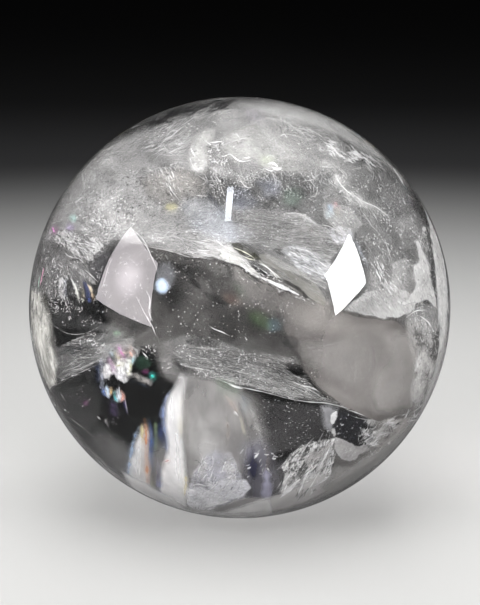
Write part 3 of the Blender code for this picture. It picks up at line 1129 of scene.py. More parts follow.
CRACK_THREADS = [
    ([CRACK, TEAR], nearer(CRACK_FRONT, 1), 190, (2, 9), 0.55, (-14, 20), 26, 8, 1, 0.6, WHITE),
    ([CRACK, TEAR], nearer(CRACK_FRONT, 2), 260, (1, 5), 0.8, (-14, 30), 26, 7, 1, 0.75, DARK),
    ([[(286, 251), (296, 248), (318, 256), (333, 267), (333, 280), (308, 268), (288, 256)]],
     [(290, 252, 18, 1), (330, 275, 17, 1), (310, 250, 21, 1)], 46, (5, 15), 0.6, (-27, 10), 16, 8,
     0.5, 0.7, WHITE),
    ([[(150, 232), (200, 228), (236, 240), (246, 262), (236, 263), (200, 256), (160, 246)]],
     [(155, 240, 17, 0.5), (236, 250, 17, 1), (205, 230, 19, 0.6)], 60, (6, 22), 0.8, (-14, 8), 12, 8,
     0.5, 0.6, WHITE),
    ([[(220, 258), (262, 276), (300, 294), (302, 303), (262, 287), (218, 264)]],
     [(220, 261, 15.5, 0.8), (300, 298, 15.5, 1), (262, 284, 15, 1)], 60, (3, 10), 0.8, (-34, 10), 10,
     6, 0.4, 0.8, DARK),
    ([[(145, 250), (200, 262), (250, 280), (290, 298), (270, 312), (220, 290), (160, 270)]],
     [(150, 255, 20, 0.8), (285, 300, 20, 0.6), (220, 285, 26, 0.2)], 150, (1, 2.4), 0.8, (0, 90), 10,
     6, 1.5, 0.6, PALE),
    ([GRAINY_BAND], GRAINY_FRONT, 330, (0.8, 2.2), 0.9, (-20, 80), 6, 6, 1, 0.75, DARK),
    ([GRAINY_BAND], nearer(GRAINY_FRONT, 1), 240, (0.8, 2.4), 0.7, (-20, 80), 6, 6, 1, 0.75, WHITE),
    ([RAGGED_LIP], RAGGED_FRONT, 130, (1, 4), 0.9, (-32, 30), 8, 6, 0.8, 0.85, DARK),
    ([RAGGED_LIP], nearer(RAGGED_FRONT, 1), 110, (1, 4), 0.7, (-32, 30), 8, 6, 0.8, 0.85, WHITE),
]
wisps("crack_threads", CRACK_THREADS, thread, seed=7)


# The right haze. Fine streaks fall from the cloud to the right rim, where pale broken patches lie
# close under the skin. A comet and small splinters hang among them.


def oval(x, y, half_wide, half_high, turned=0.0):
    """An oval outline in photo pixels, its long way turned up by this many degrees."""
    turns = np.linspace(0, 2 * math.pi, 20, endpoint=False)
    lean = math.radians(turned)
    across, up = half_wide * np.cos(turns), half_high * np.sin(turns)
    return np.column_stack(
        [
            x + across * math.cos(lean) - up * math.sin(lean),
            y - across * math.sin(lean) - up * math.cos(lean),
        ]
    )


RIGHT_HAZE = [
    (336, 156), (372, 158), (400, 185), (420, 215), (432, 250), (434, 290), (410, 300),
    (375, 303), (362, 296), (368, 280), (360, 252), (350, 232), (336, 226), (322, 210),
    (318, 190), (326, 172),
]
RIGHT_FRONT = [
    (340, 175, 17, 0.24), (430, 260, 12, 0.18), (385, 292, 20, 0.32), (385, 215, 17, 0.03),
    (368, 172, 17, 0.04), (390, 255, 15, 0.10),
]
RIGHT_EDGE = [
    (410, 226), (428, 230), (438, 275), (440, 330), (430, 395), (418, 410), (418, 340),
    (406, 318), (412, 304), (424, 280),
]
EDGE_FRONT = [(415, 235, 8, 0.8), (436, 300, 6, 0.8), (420, 400, 10, 0.9)]
raining = veil_finish(
    "raining", streak=(-60.0, 2.2), fade=9.0, ragged=6.0, ragged_size=3.0, patch_size=3.0,
    patch_depth=0.7, patch_contrast=4.5, patch_roughness=0.56, twist=0.2, grain_depth=0.3,
    speck_size=0.38, specks=0.7, pits=0.6,
)
chalky = veil_finish(
    "chalky", (0.88, 1.08), streak=(-55.0, 2.2), fade=1.8, ragged=2.6, ragged_size=1.8,
    patch_size=2.5, patch_depth=0.38, patch_contrast=4.0, patch_roughness=0.8, twist=0.4,
    specks=0.4, pits=0.5,
)
RIGHT_HAZE_SHEETS = [
    ([RIGHT_HAZE], nearer(RIGHT_FRONT, -24, 0.1), 6, MILK),
    ([RIGHT_HAZE], RIGHT_FRONT, 4, PALE),
    ([[(396, 318), (410, 312), (440, 320), (440, 368), (430, 400), (416, 414), (408, 400), (412, 360),
       (408, 335)]],
     [(415, 332, 10, 0.95), (438, 340, 8, 1), (420, 405, 10, 0.95), (424, 370, 9, 0.95)], 1,
     (0.62, 0.61, 0.595)),
    ([[(336, 168), (346, 178), (356, 192), (372, 202), (390, 217), (374, 216), (354, 208), (338, 196),
       (330, 180)]], [(336, 174, 13, 0.5), (388, 216, 13, 0.5), (348, 196, 13, 0.8)], 0.6, PALE),
]
films("right_haze", RIGHT_HAZE_SHEETS, raining)
RIGHT_PATCHES = [
    ([[(414, 241), (418, 238), (421, 243), (424, 252), (429, 262), (431, 272), (433, 285), (437, 298),
       (438, 310), (432, 306), (428, 301), (403, 306), (400, 304), (408, 296), (413, 289), (415, 284),
       (412, 272), (413, 266), (418, 262), (417, 252)]],
     [(416, 242, 6, 0.9), (435, 300, 6, 0.95), (402, 305, 8, 0.95)], 1, (0.68, 0.675, 0.665)),
    ([oval(424, 229, 3.4, 3.8)], [(420, 226, 6, 0.9), (426, 229, 6, 0.9), (423, 233, 6, 0.9)], 0.2,
     MILK),
    ([[(343, 310), (352, 300), (366, 291), (390, 286), (408, 290), (418, 302), (414, 312), (400, 318),
       (384, 319), (364, 316)]],
     [(345, 310, 9, 0.45), (412, 308, 8, 0.85), (395, 317, 9, 0.8), (385, 289, 10, 0.2)], 0.6, PALE),
    ([[(403, 314), (412, 305), (425, 303), (438, 306), (441, 322), (436, 334), (424, 334), (412, 324)]],
     [(405, 312, 8, 0.3), (440, 305, 6, 0.5), (425, 332, 7, 0.2)], 0.6, MILK),
    level([(392, 262), (406, 256), (417, 266), (417, 292), (402, 300), (390, 290)], 11, 0.3, PALE),
    level([(322, 202), (348, 204), (364, 224), (350, 238), (334, 230), (322, 216)], 17, 0.36, PALE),
    level([(396, 220), (412, 216), (429, 226), (434, 250), (416, 252), (400, 246)], 10, 0.14, PALE),
    ([[(353, 236), (359, 243), (366, 258), (371, 270), (366, 268), (360, 256), (354, 243)]],
     [(353, 236, 13, 0.5), (370, 268, 13, 0.5), (360, 252, 13, 0.5)], 0.3, (0.36, 0.38, 0.42)),
]
films("right_patches", RIGHT_PATCHES, chalky)
RIGHT_THREADS = [
    ([RIGHT_HAZE], nearer(RIGHT_FRONT, 1), 150, (2, 10), 0.5, (-60, 12), 8, 8, 2, 0.65, WHITE),
    ([RIGHT_HAZE], nearer(RIGHT_FRONT, 1), 120, (2, 9), 0.7, (-60, 14), 8, 8, 2, 0.55, DARK),
    ([[(330, 168), (345, 172), (362, 196), (352, 204), (338, 196)]],
     [(332, 170, 12, 1), (360, 198, 12, 1), (340, 196, 12, 1)], 34, (3, 12), 0.7, (-48, 14), 20, 6,
     0.6, 0.7, PALE),
    ([[(300, 110), (330, 120), (372, 148), (402, 182), (424, 220), (414, 226), (390, 190), (356, 158),
       (322, 130), (300, 122)]], [(310, 115, 12, 0.8), (415, 215, 9, 0.8), (360, 150, 11, 0.8)], 50,
     (4, 16), 0.5, (-38, 16), 20, 9, 1.5, 0.6, PALE),
    ([RIGHT_EDGE], EDGE_FRONT, 110, (3, 12), 0.7, (-76, 20), 30, 7, 0.8, 0.8, PALE),
    ([RIGHT_EDGE], nearer(EDGE_FRONT, 1), 60, (2, 9), 0.8, (-76, 20), 30, 7, 0.6, 0.6, DARK),
    ([[(326, 140), (334, 142), (350, 152), (362, 156), (358, 162), (344, 161), (332, 153)]],
     [(328, 142, 12, 1), (360, 158, 11, 1), (340, 152, 11, 1)], 56, (3, 10), 0.9, (-35, 16), 16, 6,
     0.4, 0.9, WHITE),
    ([[(352, 146), (362, 148), (374, 160), (374, 166), (364, 162)]],
     [(354, 148, 10, 1), (373, 164, 10, 1), (362, 158, 10, 1)], 24, (4, 14), 0.9, (-45, 12), 14, 6,
     0.4, 0.85, WHITE),
    ([[(372, 258), (380, 262), (398, 292), (393, 298), (382, 280)]],
     [(375, 260, 12, 1), (396, 294, 12, 1), (384, 280, 12, 1)], 40, (3, 10), 0.9, (-60, 8), 10, 6, 0.3,
     0.9, WHITE),
]
wisps("right_threads", RIGHT_THREADS, thread, seed=8)
RIGHT_LINES = [
    ([(352, 194), (364, 202), (376, 207), (389, 217)], 1.6, 12, 0.8, PALE),
    ([(335, 172), (339, 182), (346, 190), (354, 196)], 1.2, 11, 0.7, WHITE),
    ([(384, 238), (389, 252), (392, 262)], 1.2, 13, 0.6, PALE),
    ([(393, 168), (400, 178), (404, 186)], 2, 6, 0.9, WHITE),
    ([(344, 163), (352, 159), (360, 157), (368, 158)], 1.3, 12, 0.8, PALE),
    ([(348, 170), (360, 168), (372, 166)], 1, 12, 0.6, PALE),
    ([(396, 228), (402, 240), (404, 252)], 1.2, 12, 0.5, PALE),
    ([(420, 316), (428, 322), (434, 332)], 1.6, 7, 0.9, WHITE),
    ([(406, 318), (416, 311), (430, 310)], 1.4, 7, 0.8, WHITE),
]
ribbons("right_lines", RIGHT_LINES, stroke)
RIGHT_RIM_BAND = [
    ([[(418, 196), (424, 208), (430, 235), (434, 262), (437, 300), (439, 335), (437, 356), (443, 352),
       (447, 330), (449, 305), (448, 285), (445, 262), (440, 238), (432, 214), (424, 200)]],
     [(422, 202, 4, 0.55), (434, 240, 4, 0.95), (443, 300, 3, 1), (442, 345, 4, 0.95)], 0.3,
     (0.82, 0.815, 0.8)),
    ([[(366, 141), (384, 157), (402, 175), (416, 192), (410, 190), (396, 176), (380, 160), (366, 148)]],
     [(368, 144, 4, 0.4), (414, 192, 4, 0.5), (390, 167, 4, 0.5)], 0.3, GREY),
    ([[(439, 335), (448, 322), (446, 350), (440, 376), (430, 400), (418, 417), (424, 398), (434, 372)]],
     [(443, 330, 4, 0.9), (422, 410, 6, 0.8), (438, 370, 5, 0.9)], 0.3, (0.74, 0.73, 0.71)),
]
films("right_rim_band", RIGHT_RIM_BAND, chalky)
RIGHT_RIM_LINES = [
    ([(430, 235), (434, 258), (437, 280), (438, 305), (439, 330)], 1.2, 4, 0.8, WHITE),
    ([(436, 232), (442, 255), (446, 280), (447, 305), (446, 330)], 1.8, 2, 0.8, WHITE),
    ([(427, 215), (433, 235), (438, 258)], 1.6, 3, 0.8, PALE),
    ([(338, 124), (356, 134), (372, 148)], 1.4, 4, 0.4, PALE),
    ([(441, 345), (438, 362), (432, 380), (424, 398)], 1.3, (4, 5), 0.7, PALE),
]
ribbons("right_rim_lines", RIGHT_RIM_LINES, stroke)


# Grains. Tiny bright flakes and black pits lie thick on the veils of the upper half.
# They are the largest of the trapped bubbles, which flash or turn the light away. The black of
# the pits is painted shade.
FLAKE_GAP = 0.0004
FLAKE_SIZES = (0.4, 1.3)
FLAKE_TONE_SIZE = 0.5


def flakes(name, fields, finish, seed):
    """Tiny three-cornered flakes in one mesh. Each field has its outline and holes, pins, how
    many, their length and width in mm, the angle that they run at and how far that varies, how
    far they lean, the size of their clumps in pixels, and how far off the sheet they lie in mm."""
    chance = np.random.default_rng(seed)
    points = []
    for outlines, pins, many, length, width, runs, lean, clump, spread in fields:
        spots = scattered(chance, outlines, pins, many, clump, seed)
        flat = sheet_through(spots, pins)[0]
        step_down = sheet_through(spots + (0.0, 1.0), pins)[0] - flat
        step_right = sheet_through(spots + (1.0, 0.0), pins)[0] - flat
        deep = flat + chance.normal(0, spread, len(spots))
        middle = into_the_stone(spots, deep)
        right = into_the_stone(spots + (1.0, 0.0), deep + step_right) - middle
        down = into_the_stone(spots + (0.0, 1.0), deep + step_down) - middle
        right /= np.linalg.norm(right, axis=1)[:, None] + 1e-12
        down /= np.linalg.norm(down, axis=1)[:, None] + 1e-12
        off = np.cross(right, down)
        turn = math.radians(runs[0]) + chance.normal(0, math.radians(runs[1]), len(spots))
        along = np.cos(turn)[:, None] * right - np.sin(turn)[:, None] * down
        side = np.cross(off, along)
        tip = chance.normal(0, math.radians(lean), (2, len(spots)))
        along = along + np.tan(np.clip(tip[0] * 0.5, -1.2, 1.2))[:, None] * off
        side = side + np.tan(np.clip(tip[1], -1.3, 1.3))[:, None] * off
        along /= np.linalg.norm(along, axis=1)[:, None] + 1e-12
        side /= np.linalg.norm(side, axis=1)[:, None] + 1e-12
        size = chance.uniform(*FLAKE_SIZES, (len(spots), 1)) / 1000
        skew = chance.uniform(-0.5, 0.5, (len(spots), 1))
        long_side = along * size * length
        wide_side = side * size * width
        corners = [
            middle - long_side / 2 + wide_side * skew,
            middle + long_side / 2,
            middle + wide_side,
        ]
        points.append(np.stack(corners, axis=1).reshape(-1, 3))
    points = np.vstack(points)
    away = points - np.array(STONE_CENTRE)
    reach = np.linalg.norm(away, axis=1)
    most = STONE_RADIUS - FLAKE_GAP
    away *= np.where(reach > most, most / reach, 1.0)[:, None]
    points = away + np.array(STONE_CENTRE)
    points[:, 2] = np.maximum(points[:, 2], FLAKE_GAP)
    faces = np.arange(len(points)).reshape(-1, 3)
    return new_piece(name, [points], [faces], finish)


def grains(fields, length=0.26, width=0.13, lean=35, clump=12.0, spread=1.2):
    """Fields of flakes as small as grains: each has its outline and holes, pins, how many, and
    the angle that they run at and how far that varies."""
    return [
        (outlines, pins, many, length, width, runs, lean, clump, spread)
        for outlines, pins, many, runs in fields
    ]


def flake_finish(name, colours, rough):
    """Solid flakes whose colour differs from one to the next."""
    finish, nodes, links = new_finish(name)
    shader = nodes["Principled BSDF"]
    shader.inputs["Roughness"].default_value = rough
    place = add_node(nodes, "TexCoord")
    tone = add_node(nodes, "TexVoronoi", Scale=1000.0 / FLAKE_TONE_SIZE)
    ramp = add_node(nodes, "ValToRGB")
    for stop, colour in zip(ramp.color_ramp.elements, colours):
        stop.color = (*colour, 1.0)
    join_nodes(
        links,
        (place, "Object", tone, "Vector"),
        (tone, "Color", ramp, "Fac"),
        (ramp, "Color", shader, "Base Color"),
    )
    return finish


white_flake = flake_finish("white_flake", ((0.45, 0.45, 0.44), (0.92, 0.92, 0.92)), 0.3)
# Black flakes of painted shade, for bubbles that turn the light away.
dark_flake = flake_finish("dark_flake", ((0.012, 0.012, 0.012), (0.08, 0.08, 0.08)), 0.9)
BAND = [(205, 180), (300, 186), (318, 205), (300, 214), (262, 207), (236, 204), (216, 204)]
BAND_FRONT = [(205, 190, 14, 1.0), (318, 200, 16, 1.0), (262, 205, 15, 1.0)]
WHITE_GRAINS = [
    ([LEFT_VEIL], nearer(VEIL_FRONT, 2), 700, (25, 50)),
    ([CLOUD], nearer(CLOUD_FRONT, 3), 420, (0, 70)),
    ([FRINGE], FRINGE_FRONT, 240, (-60, 40)),
    ([RIGHT_HAZE], nearer(RIGHT_FRONT, 2), 800, (-60, 30)),
    ([BAND], BAND_FRONT, 260, (-20, 60)),
    ([CRACK, TEAR], nearer(CRACK_FRONT, 2), 700, (-14, 30)),
    ([RIGHT_EDGE], nearer(EDGE_FRONT, 1), 500, (-76, 30)),
]
flakes("white_grains", grains(WHITE_GRAINS), white_flake, seed=21)
DARK_GRAINS = [
    ([LEFT_VEIL], nearer(VEIL_FRONT, 3), 600, (25, 50)),
    ([CLOUD], nearer(CLOUD_FRONT, 4), 240, (0, 70)),
    ([FRINGE], FRINGE_FRONT, 340, (-60, 40)),
    ([BAND], BAND_FRONT, 520, (-20, 60)),
    ([RIGHT_HAZE], nearer(RIGHT_FRONT, 3), 450, (-60, 30)),
    ([CRACK, TEAR], nearer(CRACK_FRONT, 3), 500, (-14, 30)),
    ([POCKET], nearer(POCKET_FRONT, 2), 240, (-30, 40)),
]
flakes("dark_grains", grains(DARK_GRAINS, length=0.34, width=0.18), dark_flake, seed=22)


# Colours. Where a thin crack splits the light, soft spots of colour blur through the haze.
# They come from how thin the crack is, and not from anything coloured in the quartz.


def spot(x, y, half_wide, half_high, turned, deep, thick, colour, wave=0.2):
    """A small oval film for films, level at this depth in mm."""
    return level(oval(x, y, half_wide, half_high, turned), deep, thick, colour, wave)


glow = veil_finish(
    "glow", (0.95, 1.05), ragged=2.5, ragged_size=1.6, patch_size=2.5, patch_depth=0.35,
    patch_contrast=4.0, grain_depth=0.0,
)
FLARE_GLOW = [
    ([(112, 351), (117, 356), (121, 362)], 9, 15.6, 0.55, (0.66, 0.6, 0.42)),
    ([(119, 349), (123, 355), (125, 362)], 9, 15.4, 0.75, (0.6, 0.3, 0.5)),
    ([(127, 350), (131, 354), (134, 360)], 9, 15.6, 0.75, (0.76, 0.46, 0.38)),
    ([(108, 358), (111, 364), (115, 370)], 8, 15.4, 0.6, (0.58, 0.36, 0.56)),
    ([(130, 358), (129, 364), (128, 370)], 8, 15.4, 0.5, (0.62, 0.7, 0.52)),
]
ribbons("flare_glow", FLARE_GLOW, glow)
BLURRED_COLOURS = [
    spot(260, 320, 16, 10, -35, 40, 0.34, (0.1, 0.19, 0.07), 1),
    spot(274, 325, 9, 9, 0, 39, 0.36, (0.1, 0.21, 0.26), 1),
    spot(232, 299, 12, 7, -25, 40, 0.34, (0.27, 0.16, 0.12), 1),
    spot(240, 291, 10, 7, -35, 39, 0.24, (0.14, 0.24, 0.15), 1),
    spot(228, 388, 17, 11, -35, 36, 0.6, (0.13, 0.24, 0.13), 1),
    spot(244, 404, 6, 12, 10, 35, 0.6, (0.08, 0.2, 0.26), 1),
    spot(293, 196, 13, 12, 40, 12, 0.28, (0.06, 0.15, 0.09), 1),
    spot(171, 207, 8, 6, 0, 12, 0.5, (0.58, 0.54, 0.26)),
    spot(330, 212, 5, 9, -30, 12, 0.45, (0.5, 0.64, 0.7)),
    spot(335, 205, 4, 5, 0, 11.5, 0.5, (0.7, 0.36, 0.4)),
    spot(337, 212, 3, 4, 0, 11.5, 0.45, (0.66, 0.58, 0.36)),
    spot(330, 207, 3, 4, 0, 11, 0.6, (0.2, 0.42, 0.7)),
    spot(162, 286, 8.5, 9.5, 0, 8, 0.95, (0.66, 0.8, 0.98)),
    spot(166, 276, 12, 16, 0, 20, 0.28, (0.4, 0.41, 0.44)),
    spot(117, 333, 5, 4, 0, 18, 0.6, (0.1, 0.34, 0.14)),
    spot(73, 218, 5, 5, 0, 7, 0.7, (0.4, 0.8, 0.7)),
    spot(70, 227, 5, 5, 0, 7, 0.6, (0.46, 0.3, 0.7)),
    spot(54, 230, 4, 5, 0, 7, 0.7, (0.72, 0.14, 0.56)),
    spot(86, 403, 4, 4, 0, 14, 0.8, (0.5, 0.1, 0.4)),
    spot(268, 160, 10, 7, 0, 11, 0.25, (0.62, 0.7, 0.5)),
]
films("blurred_colours", BLURRED_COLOURS, glow)
COMETS = [
    ([(334, 170), (338, 181), (345, 190), (358, 199)], 11, 12, 0.5, PALE),
    ([(352, 195), (364, 203), (378, 209), (390, 218)], 5, 12, 0.8, PALE),
    ([(290, 213), (301, 216), (309, 219), (317, 225), (321, 229)], 6, 22, 0.9, WHITE),
    ([(302, 225), (310, 229), (318, 233)], 6, 21, 0.8, (0.2, 0.13, 0.14)),
]
ribbons("comets", COMETS, glow)
RAINBOW_SLIVERS = [
    ([(44, 267), (42, 276), (40, 286)], 2.4, 3.5, 0.9, (0.85, 0.42, 0.6)),
    ([(41, 272), (39, 281), (38, 291)], 2, 3, 0.9, (0.6, 0.9, 0.72)),
    ([(43, 286), (45, 297), (48, 306)], 1.2, 5, 0.7, (0.7, 0.7, 0.4)),
    ([(71, 214), (74, 219), (73, 224)], 1.6, 6, 0.9, (0.7, 0.95, 0.92)),
    ([(52, 226), (54, 231), (56, 235)], 1.6, 6, 0.9, (0.9, 0.3, 0.75)),
    ([(328, 203), (331, 210), (336, 217)], 1.4, 11, 0.8, (0.75, 0.9, 0.95)),
    ([(334, 201), (338, 206), (340, 213)], 1.4, 11, 0.8, (0.95, 0.45, 0.45)),
]
ribbons("rainbow_slivers", RAINBOW_SLIVERS, thread)


# The smoky face. A smooth inner face, broken flat, hangs grey-brown behind the bright reflection.
# It is a fracture that never healed, so it is smoother than the veils round it.
SMOKY_FACE = [
    (278, 293), (300, 300), (333, 306), (360, 314), (399, 319), (412, 332), (420, 356),
    (424, 396), (416, 420), (394, 427), (369, 422), (344, 409), (318, 391), (303, 372),
    (300, 359), (286, 340), (280, 315),
]
FACE_PAINTED_HIGHLIGHT = (0.60, 0.585, 0.57)
FACE_PAINTED_SHADE = (0.17, 0.16, 0.15)
waxy = veil_finish(
    "waxy", (0.95, 1.05), fade=4.0, ragged=1.5, ragged_size=3.0, patch_size=7.0,
    patch_depth=0.1, patch_contrast=3.0, grain_size=0.4, grain_depth=0.08, specks=0.1,
    speck_size=0.5,
)
folded = veil_finish(
    "folded", (0.95, 1.05), fade=13.0, ragged=6.0, ragged_size=5.0, patch_size=6.0,
    patch_depth=0.18, patch_contrast=3.0, twist=0.4, grain_depth=0.05,
)
SMOKY_FACE_SHEETS = [
    ([SMOKY_FACE],
     [(284, 306, 30, 0.25), (302, 350, 28, 0.45), (410, 340, 26, 0.96), (350, 410, 24, 0.96),
      (345, 350, 27, 0.94)], 1.5, (0.205, 0.192, 0.183)),
]
films("smoky_face", SMOKY_FACE_SHEETS, waxy)
SMOKY_FACE_FOLDS = [
    ([[(366, 326), (412, 326), (426, 356), (424, 393), (414, 414), (392, 420), (370, 417), (362, 396),
       (368, 366), (374, 345)]],
     [(374, 350, 24, 0.25), (415, 345, 20, 0.75), (412, 400, 20, 1), (384, 405, 22, 0.85)], 1,
     (0.4, 0.385, 0.37)),
    ([[(276, 290), (300, 296), (330, 302), (360, 311), (398, 316), (392, 338), (350, 342), (312, 336),
       (286, 322)]], [(290, 304, 26, 0.4), (385, 328, 22, 0.3), (330, 318, 24, 0.4)], 1,
     (0.38, 0.36, 0.34)),
    ([[(296, 340), (330, 336), (372, 322), (386, 340), (384, 380), (368, 402), (340, 390), (306, 370)]],
     [(302, 352, 20, 0.3), (372, 330, 18, 0.25), (345, 352, 19, 0.38), (366, 388, 19, 0.36)], 0.6,
     (0.42, 0.405, 0.39)),
    ([[(304, 368), (330, 380), (360, 396), (380, 412), (352, 408), (322, 392)]],
     [(310, 372, 20, 0.4), (370, 406, 18, 0.4), (336, 396, 19, 0.4)], 0.6, (0.4, 0.385, 0.37)),
    # A dark strip of painted shade along the crease down the face.
    ([[(372, 336), (380, 338), (378, 366), (374, 400), (364, 400), (366, 366)]],
     [(376, 340, 19, 0.12), (370, 396, 18, 0.16), (372, 366, 18, 0.16)], 0.6, (0.15, 0.142, 0.135)),
]
films("smoky_face_folds", SMOKY_FACE_FOLDS, folded)
# Each crease is a light line beside a dark one: painted highlight and painted shade.
SMOKY_FACE_CREASES = [
    ([(333, 305), (362, 313), (400, 319)], 1, (19, 17), 0.5, (0.05, 0.05, 0.05)),
    ([(300, 349), (318, 346), (340, 342), (362, 334)], 1, (18, 17), 0.3, FACE_PAINTED_HIGHLIGHT),
    ([(300, 351), (318, 348.5), (340, 344)], 1.2, (18, 17), 0.25, (0.15, 0.142, 0.135)),
    ([(372, 344), (374, 358), (372, 378)], 2.2, 17, 0.22, FACE_PAINTED_SHADE),
    ([(369, 346), (370, 360), (368, 376)], 1.4, 17, 0.22, FACE_PAINTED_HIGHLIGHT),
    ([(352, 352), (356, 370), (352, 392)], 3, 18, 0.1, FACE_PAINTED_HIGHLIGHT),
    ([(392, 338), (402, 362), (404, 392)], 3, 17, 0.12, (0.62, 0.605, 0.59)),
    ([(384, 330), (390, 336), (392, 342)], 2.4, 17, 0.25, FACE_PAINTED_SHADE),
    ([(404, 328), (409, 331), (412, 336)], 2.4, 17, 0.25, FACE_PAINTED_SHADE),
]
ribbons("smoky_face_creases", SMOKY_FACE_CREASES, stroke)


# The lower crack. A second healed fracture, full of pinholes, ends in a thin bright edge, which
# is a painted highlight.
# The quartz grew back across it and closed round drops of fluid, which are the pinholes.
LOWER_CRACK = [
    (172, 352), (185, 340), (215, 338), (246, 352), (262, 352), (287, 357), (300, 361),
    (303, 372), (318, 391), (346, 407), (368, 418), (346, 408), (325, 403), (289, 399),
    (259, 391), (230, 384), (205, 376), (182, 368),
]
LOWER_TEARS = [
    [(190, 341), (204, 339), (217, 342), (216, 346), (205, 346), (194, 345)],
    [(287, 346), (294, 343), (300, 348), (298, 355), (292, 357), (287, 352)],
    [(287, 364), (294, 362), (301, 367), (303, 375), (296, 374), (289, 370)],
]
TORN_LOWER_CRACK = [LOWER_CRACK, *LOWER_TEARS]
pinholed = veil_finish(
    "pinholed", streak=(-18.0, 2.0), fade=3.0, ragged=3.0, ragged_size=1.4, patch_size=1.8,
    patch_depth=0.75, patch_roughness=0.85, twist=0.5, grain_size=0.3, grain_depth=0.4,
    thread_size=1.8, thread_width=0.03, threads=0.25, speck_size=0.32, specks=0.8, pits=0.7,
)
LOWER_CRACK_SHEETS = [
    (TORN_LOWER_CRACK,
     [(180, 365, 16, 0.3), (346, 408, 18, 0.35), (240, 350, 40, 0.48), (260, 375, 26, 0.58),
      (320, 395, 19, 0.42)], 3, PALE),
    ([[(160, 344), (180, 334), (200, 336), (216, 346), (214, 366), (206, 376), (190, 388), (178, 386),
       (166, 378), (158, 364)]],
     [(168, 350, 34, 0.32), (205, 345, 36, 0.12), (176, 380, 34, 0.45), (200, 366, 34, 0.3)], 2, GREY),
]
films("lower_crack", LOWER_CRACK_SHEETS, pinholed)
# The thin bright edge: white strokes of painted highlight.
LOWER_CRACK_EDGE = [
    ([(205, 376), (215, 378), (225, 382), (234, 385), (245, 388), (259, 391), (275, 395), (289, 399)],
     1, 14, 0.85, WHITE),
    ([(228, 384), (236, 387), (244, 389)], 2, 14, 0.8, WHITE),
    ([(289, 399), (310, 402), (325, 403), (339, 406), (350, 409)], 1.6, 15, 0.8, PALE),
    ([(184, 366), (196, 368), (206, 370), (215, 372)], 1, 14, 0.7, PALE),
    ([(208, 325), (214, 329), (222, 332), (230, 336)], 1.4, 22, 0.8, WHITE),
    ([(190, 347), (202, 348), (216, 348)], 1, 16, 0.7, PALE),
    ([(281, 378), (296, 383), (312, 391), (326, 400)], 1.1, 15, 0.7, PALE),
    ([(284, 384), (300, 390), (318, 399)], 1, 15, 0.6, PALE),
    ([(290, 374), (304, 380), (316, 388)], 1, 15, 0.6, PALE),
    ([(300, 385), (312, 388), (322, 393)], 1.3, 15, 0.8, WHITE),
    ([(228, 400), (232, 407), (236, 416)], 2, 30, 0.5, (0.25, 0.17, 0.12)),
    ([(233, 412), (236, 415)], 1.6, 20, 0.9, WHITE),
]
ribbons("lower_crack_edge", LOWER_CRACK_EDGE, stroke)
LOWER_CRACK_THREADS = [
    (TORN_LOWER_CRACK,
     [(180, 365, 15, 0.4), (346, 408, 17, 0.9), (240, 350, 39, 0.3), (260, 375, 25, 0.8)], 150,
     (3, 14), 0.6, (-20, 9), 14, 8, 0.8, 0.5, PALE),
    (TORN_LOWER_CRACK,
     [(180, 365, 14, 0.4), (346, 408, 16, 0.9), (240, 350, 38, 0.5), (260, 375, 24, 0.8)], 110, (2, 9),
     1, (-18, 12), 20, 7, 0.8, 0.6, DARK),
    ([[(172, 340), (200, 336), (246, 352), (300, 358), (330, 398), (289, 399), (230, 384), (182, 372)]],
     [(180, 365, 13, 0.8), (300, 380, 15, 0.3), (240, 350, 28, 1)], 240, (0.8, 2), 0.9, (0, 90), 10, 6,
     1, 0.9, WHITE),
]
wisps("lower_crack_threads", LOWER_CRACK_THREADS, thread, seed=9)
LOWER_CRACK_GRAINS = [
    (TORN_LOWER_CRACK, [(180, 365, 14, 0.5), (346, 408, 16, 0.3), (240, 350, 38, 0.9)], 200, 0.2, 0.15,
     (0, 50), 25, 6, 0.8),
]
flakes("lower_crack_grains", LOWER_CRACK_GRAINS, white_flake, seed=11)


# The left side. A frosted fan opens under the left rim, over glittering splinters and a pale
# striped rim.


def strands(outline, deep, many, lengths, width, runs, colour, density=0.9):
    """A small field for wisps, level at this depth in mm."""
    pins = level_pins(outline, deep)
    bend, clump, spread = 18, 7.0, 0.4
    return [outline], pins, many, lengths, width, runs, bend, clump, spread, density, colour


feathered = veil_finish(
    "feathered", streak=(-42.0, 3.5), fade=1.6, ragged=3.0, ragged_size=1.4, patch_size=1.4,
    patch_depth=0.6, patch_contrast=6.0, patch_roughness=0.75, twist=0.5, grain_size=0.3,
    grain_depth=0.3, thread_size=1.4, thread_width=0.04, threads=0.8,
)
shining = veil_finish(
    "shining", (0.97, 1.03), fade=3.0, ragged=1.6, ragged_size=0.8, patch_size=1.0,
    patch_depth=0.35, grain_depth=0.0,
)
smoke = veil_finish(
    "smoke", (0.94, 1.05), fade=4.0, ragged=2.0, ragged_size=3.0, patch_size=5.0,
    patch_depth=0.15, patch_contrast=3.0, grain_depth=0.04,
)
SCRATCHED = [(56, 228), (84, 236), (106, 240), (96, 258), (92, 264), (70, 262), (54, 242)]
SCRATCHED_FRONT = [(58, 232, 10, 0.9), (104, 240, 11, 0.9), (80, 260, 10, 0.9)]
GLITTER = [
    (40, 250), (52, 244), (64, 262), (78, 280), (84, 296), (82, 312), (66, 320), (50, 314), (42, 295),
]
GLITTER_FRONT = [(45, 270, 8, 0.9), (80, 300, 10, 0.9), (60, 250, 9, 0.9)]
FAN = [
    (54, 348), (64, 343), (75, 338), (90, 335), (104, 332), (122, 336), (138, 338), (130, 350),
    (112, 357), (100, 362), (86, 371), (75, 376), (66, 380), (58, 384), (54, 370),
]
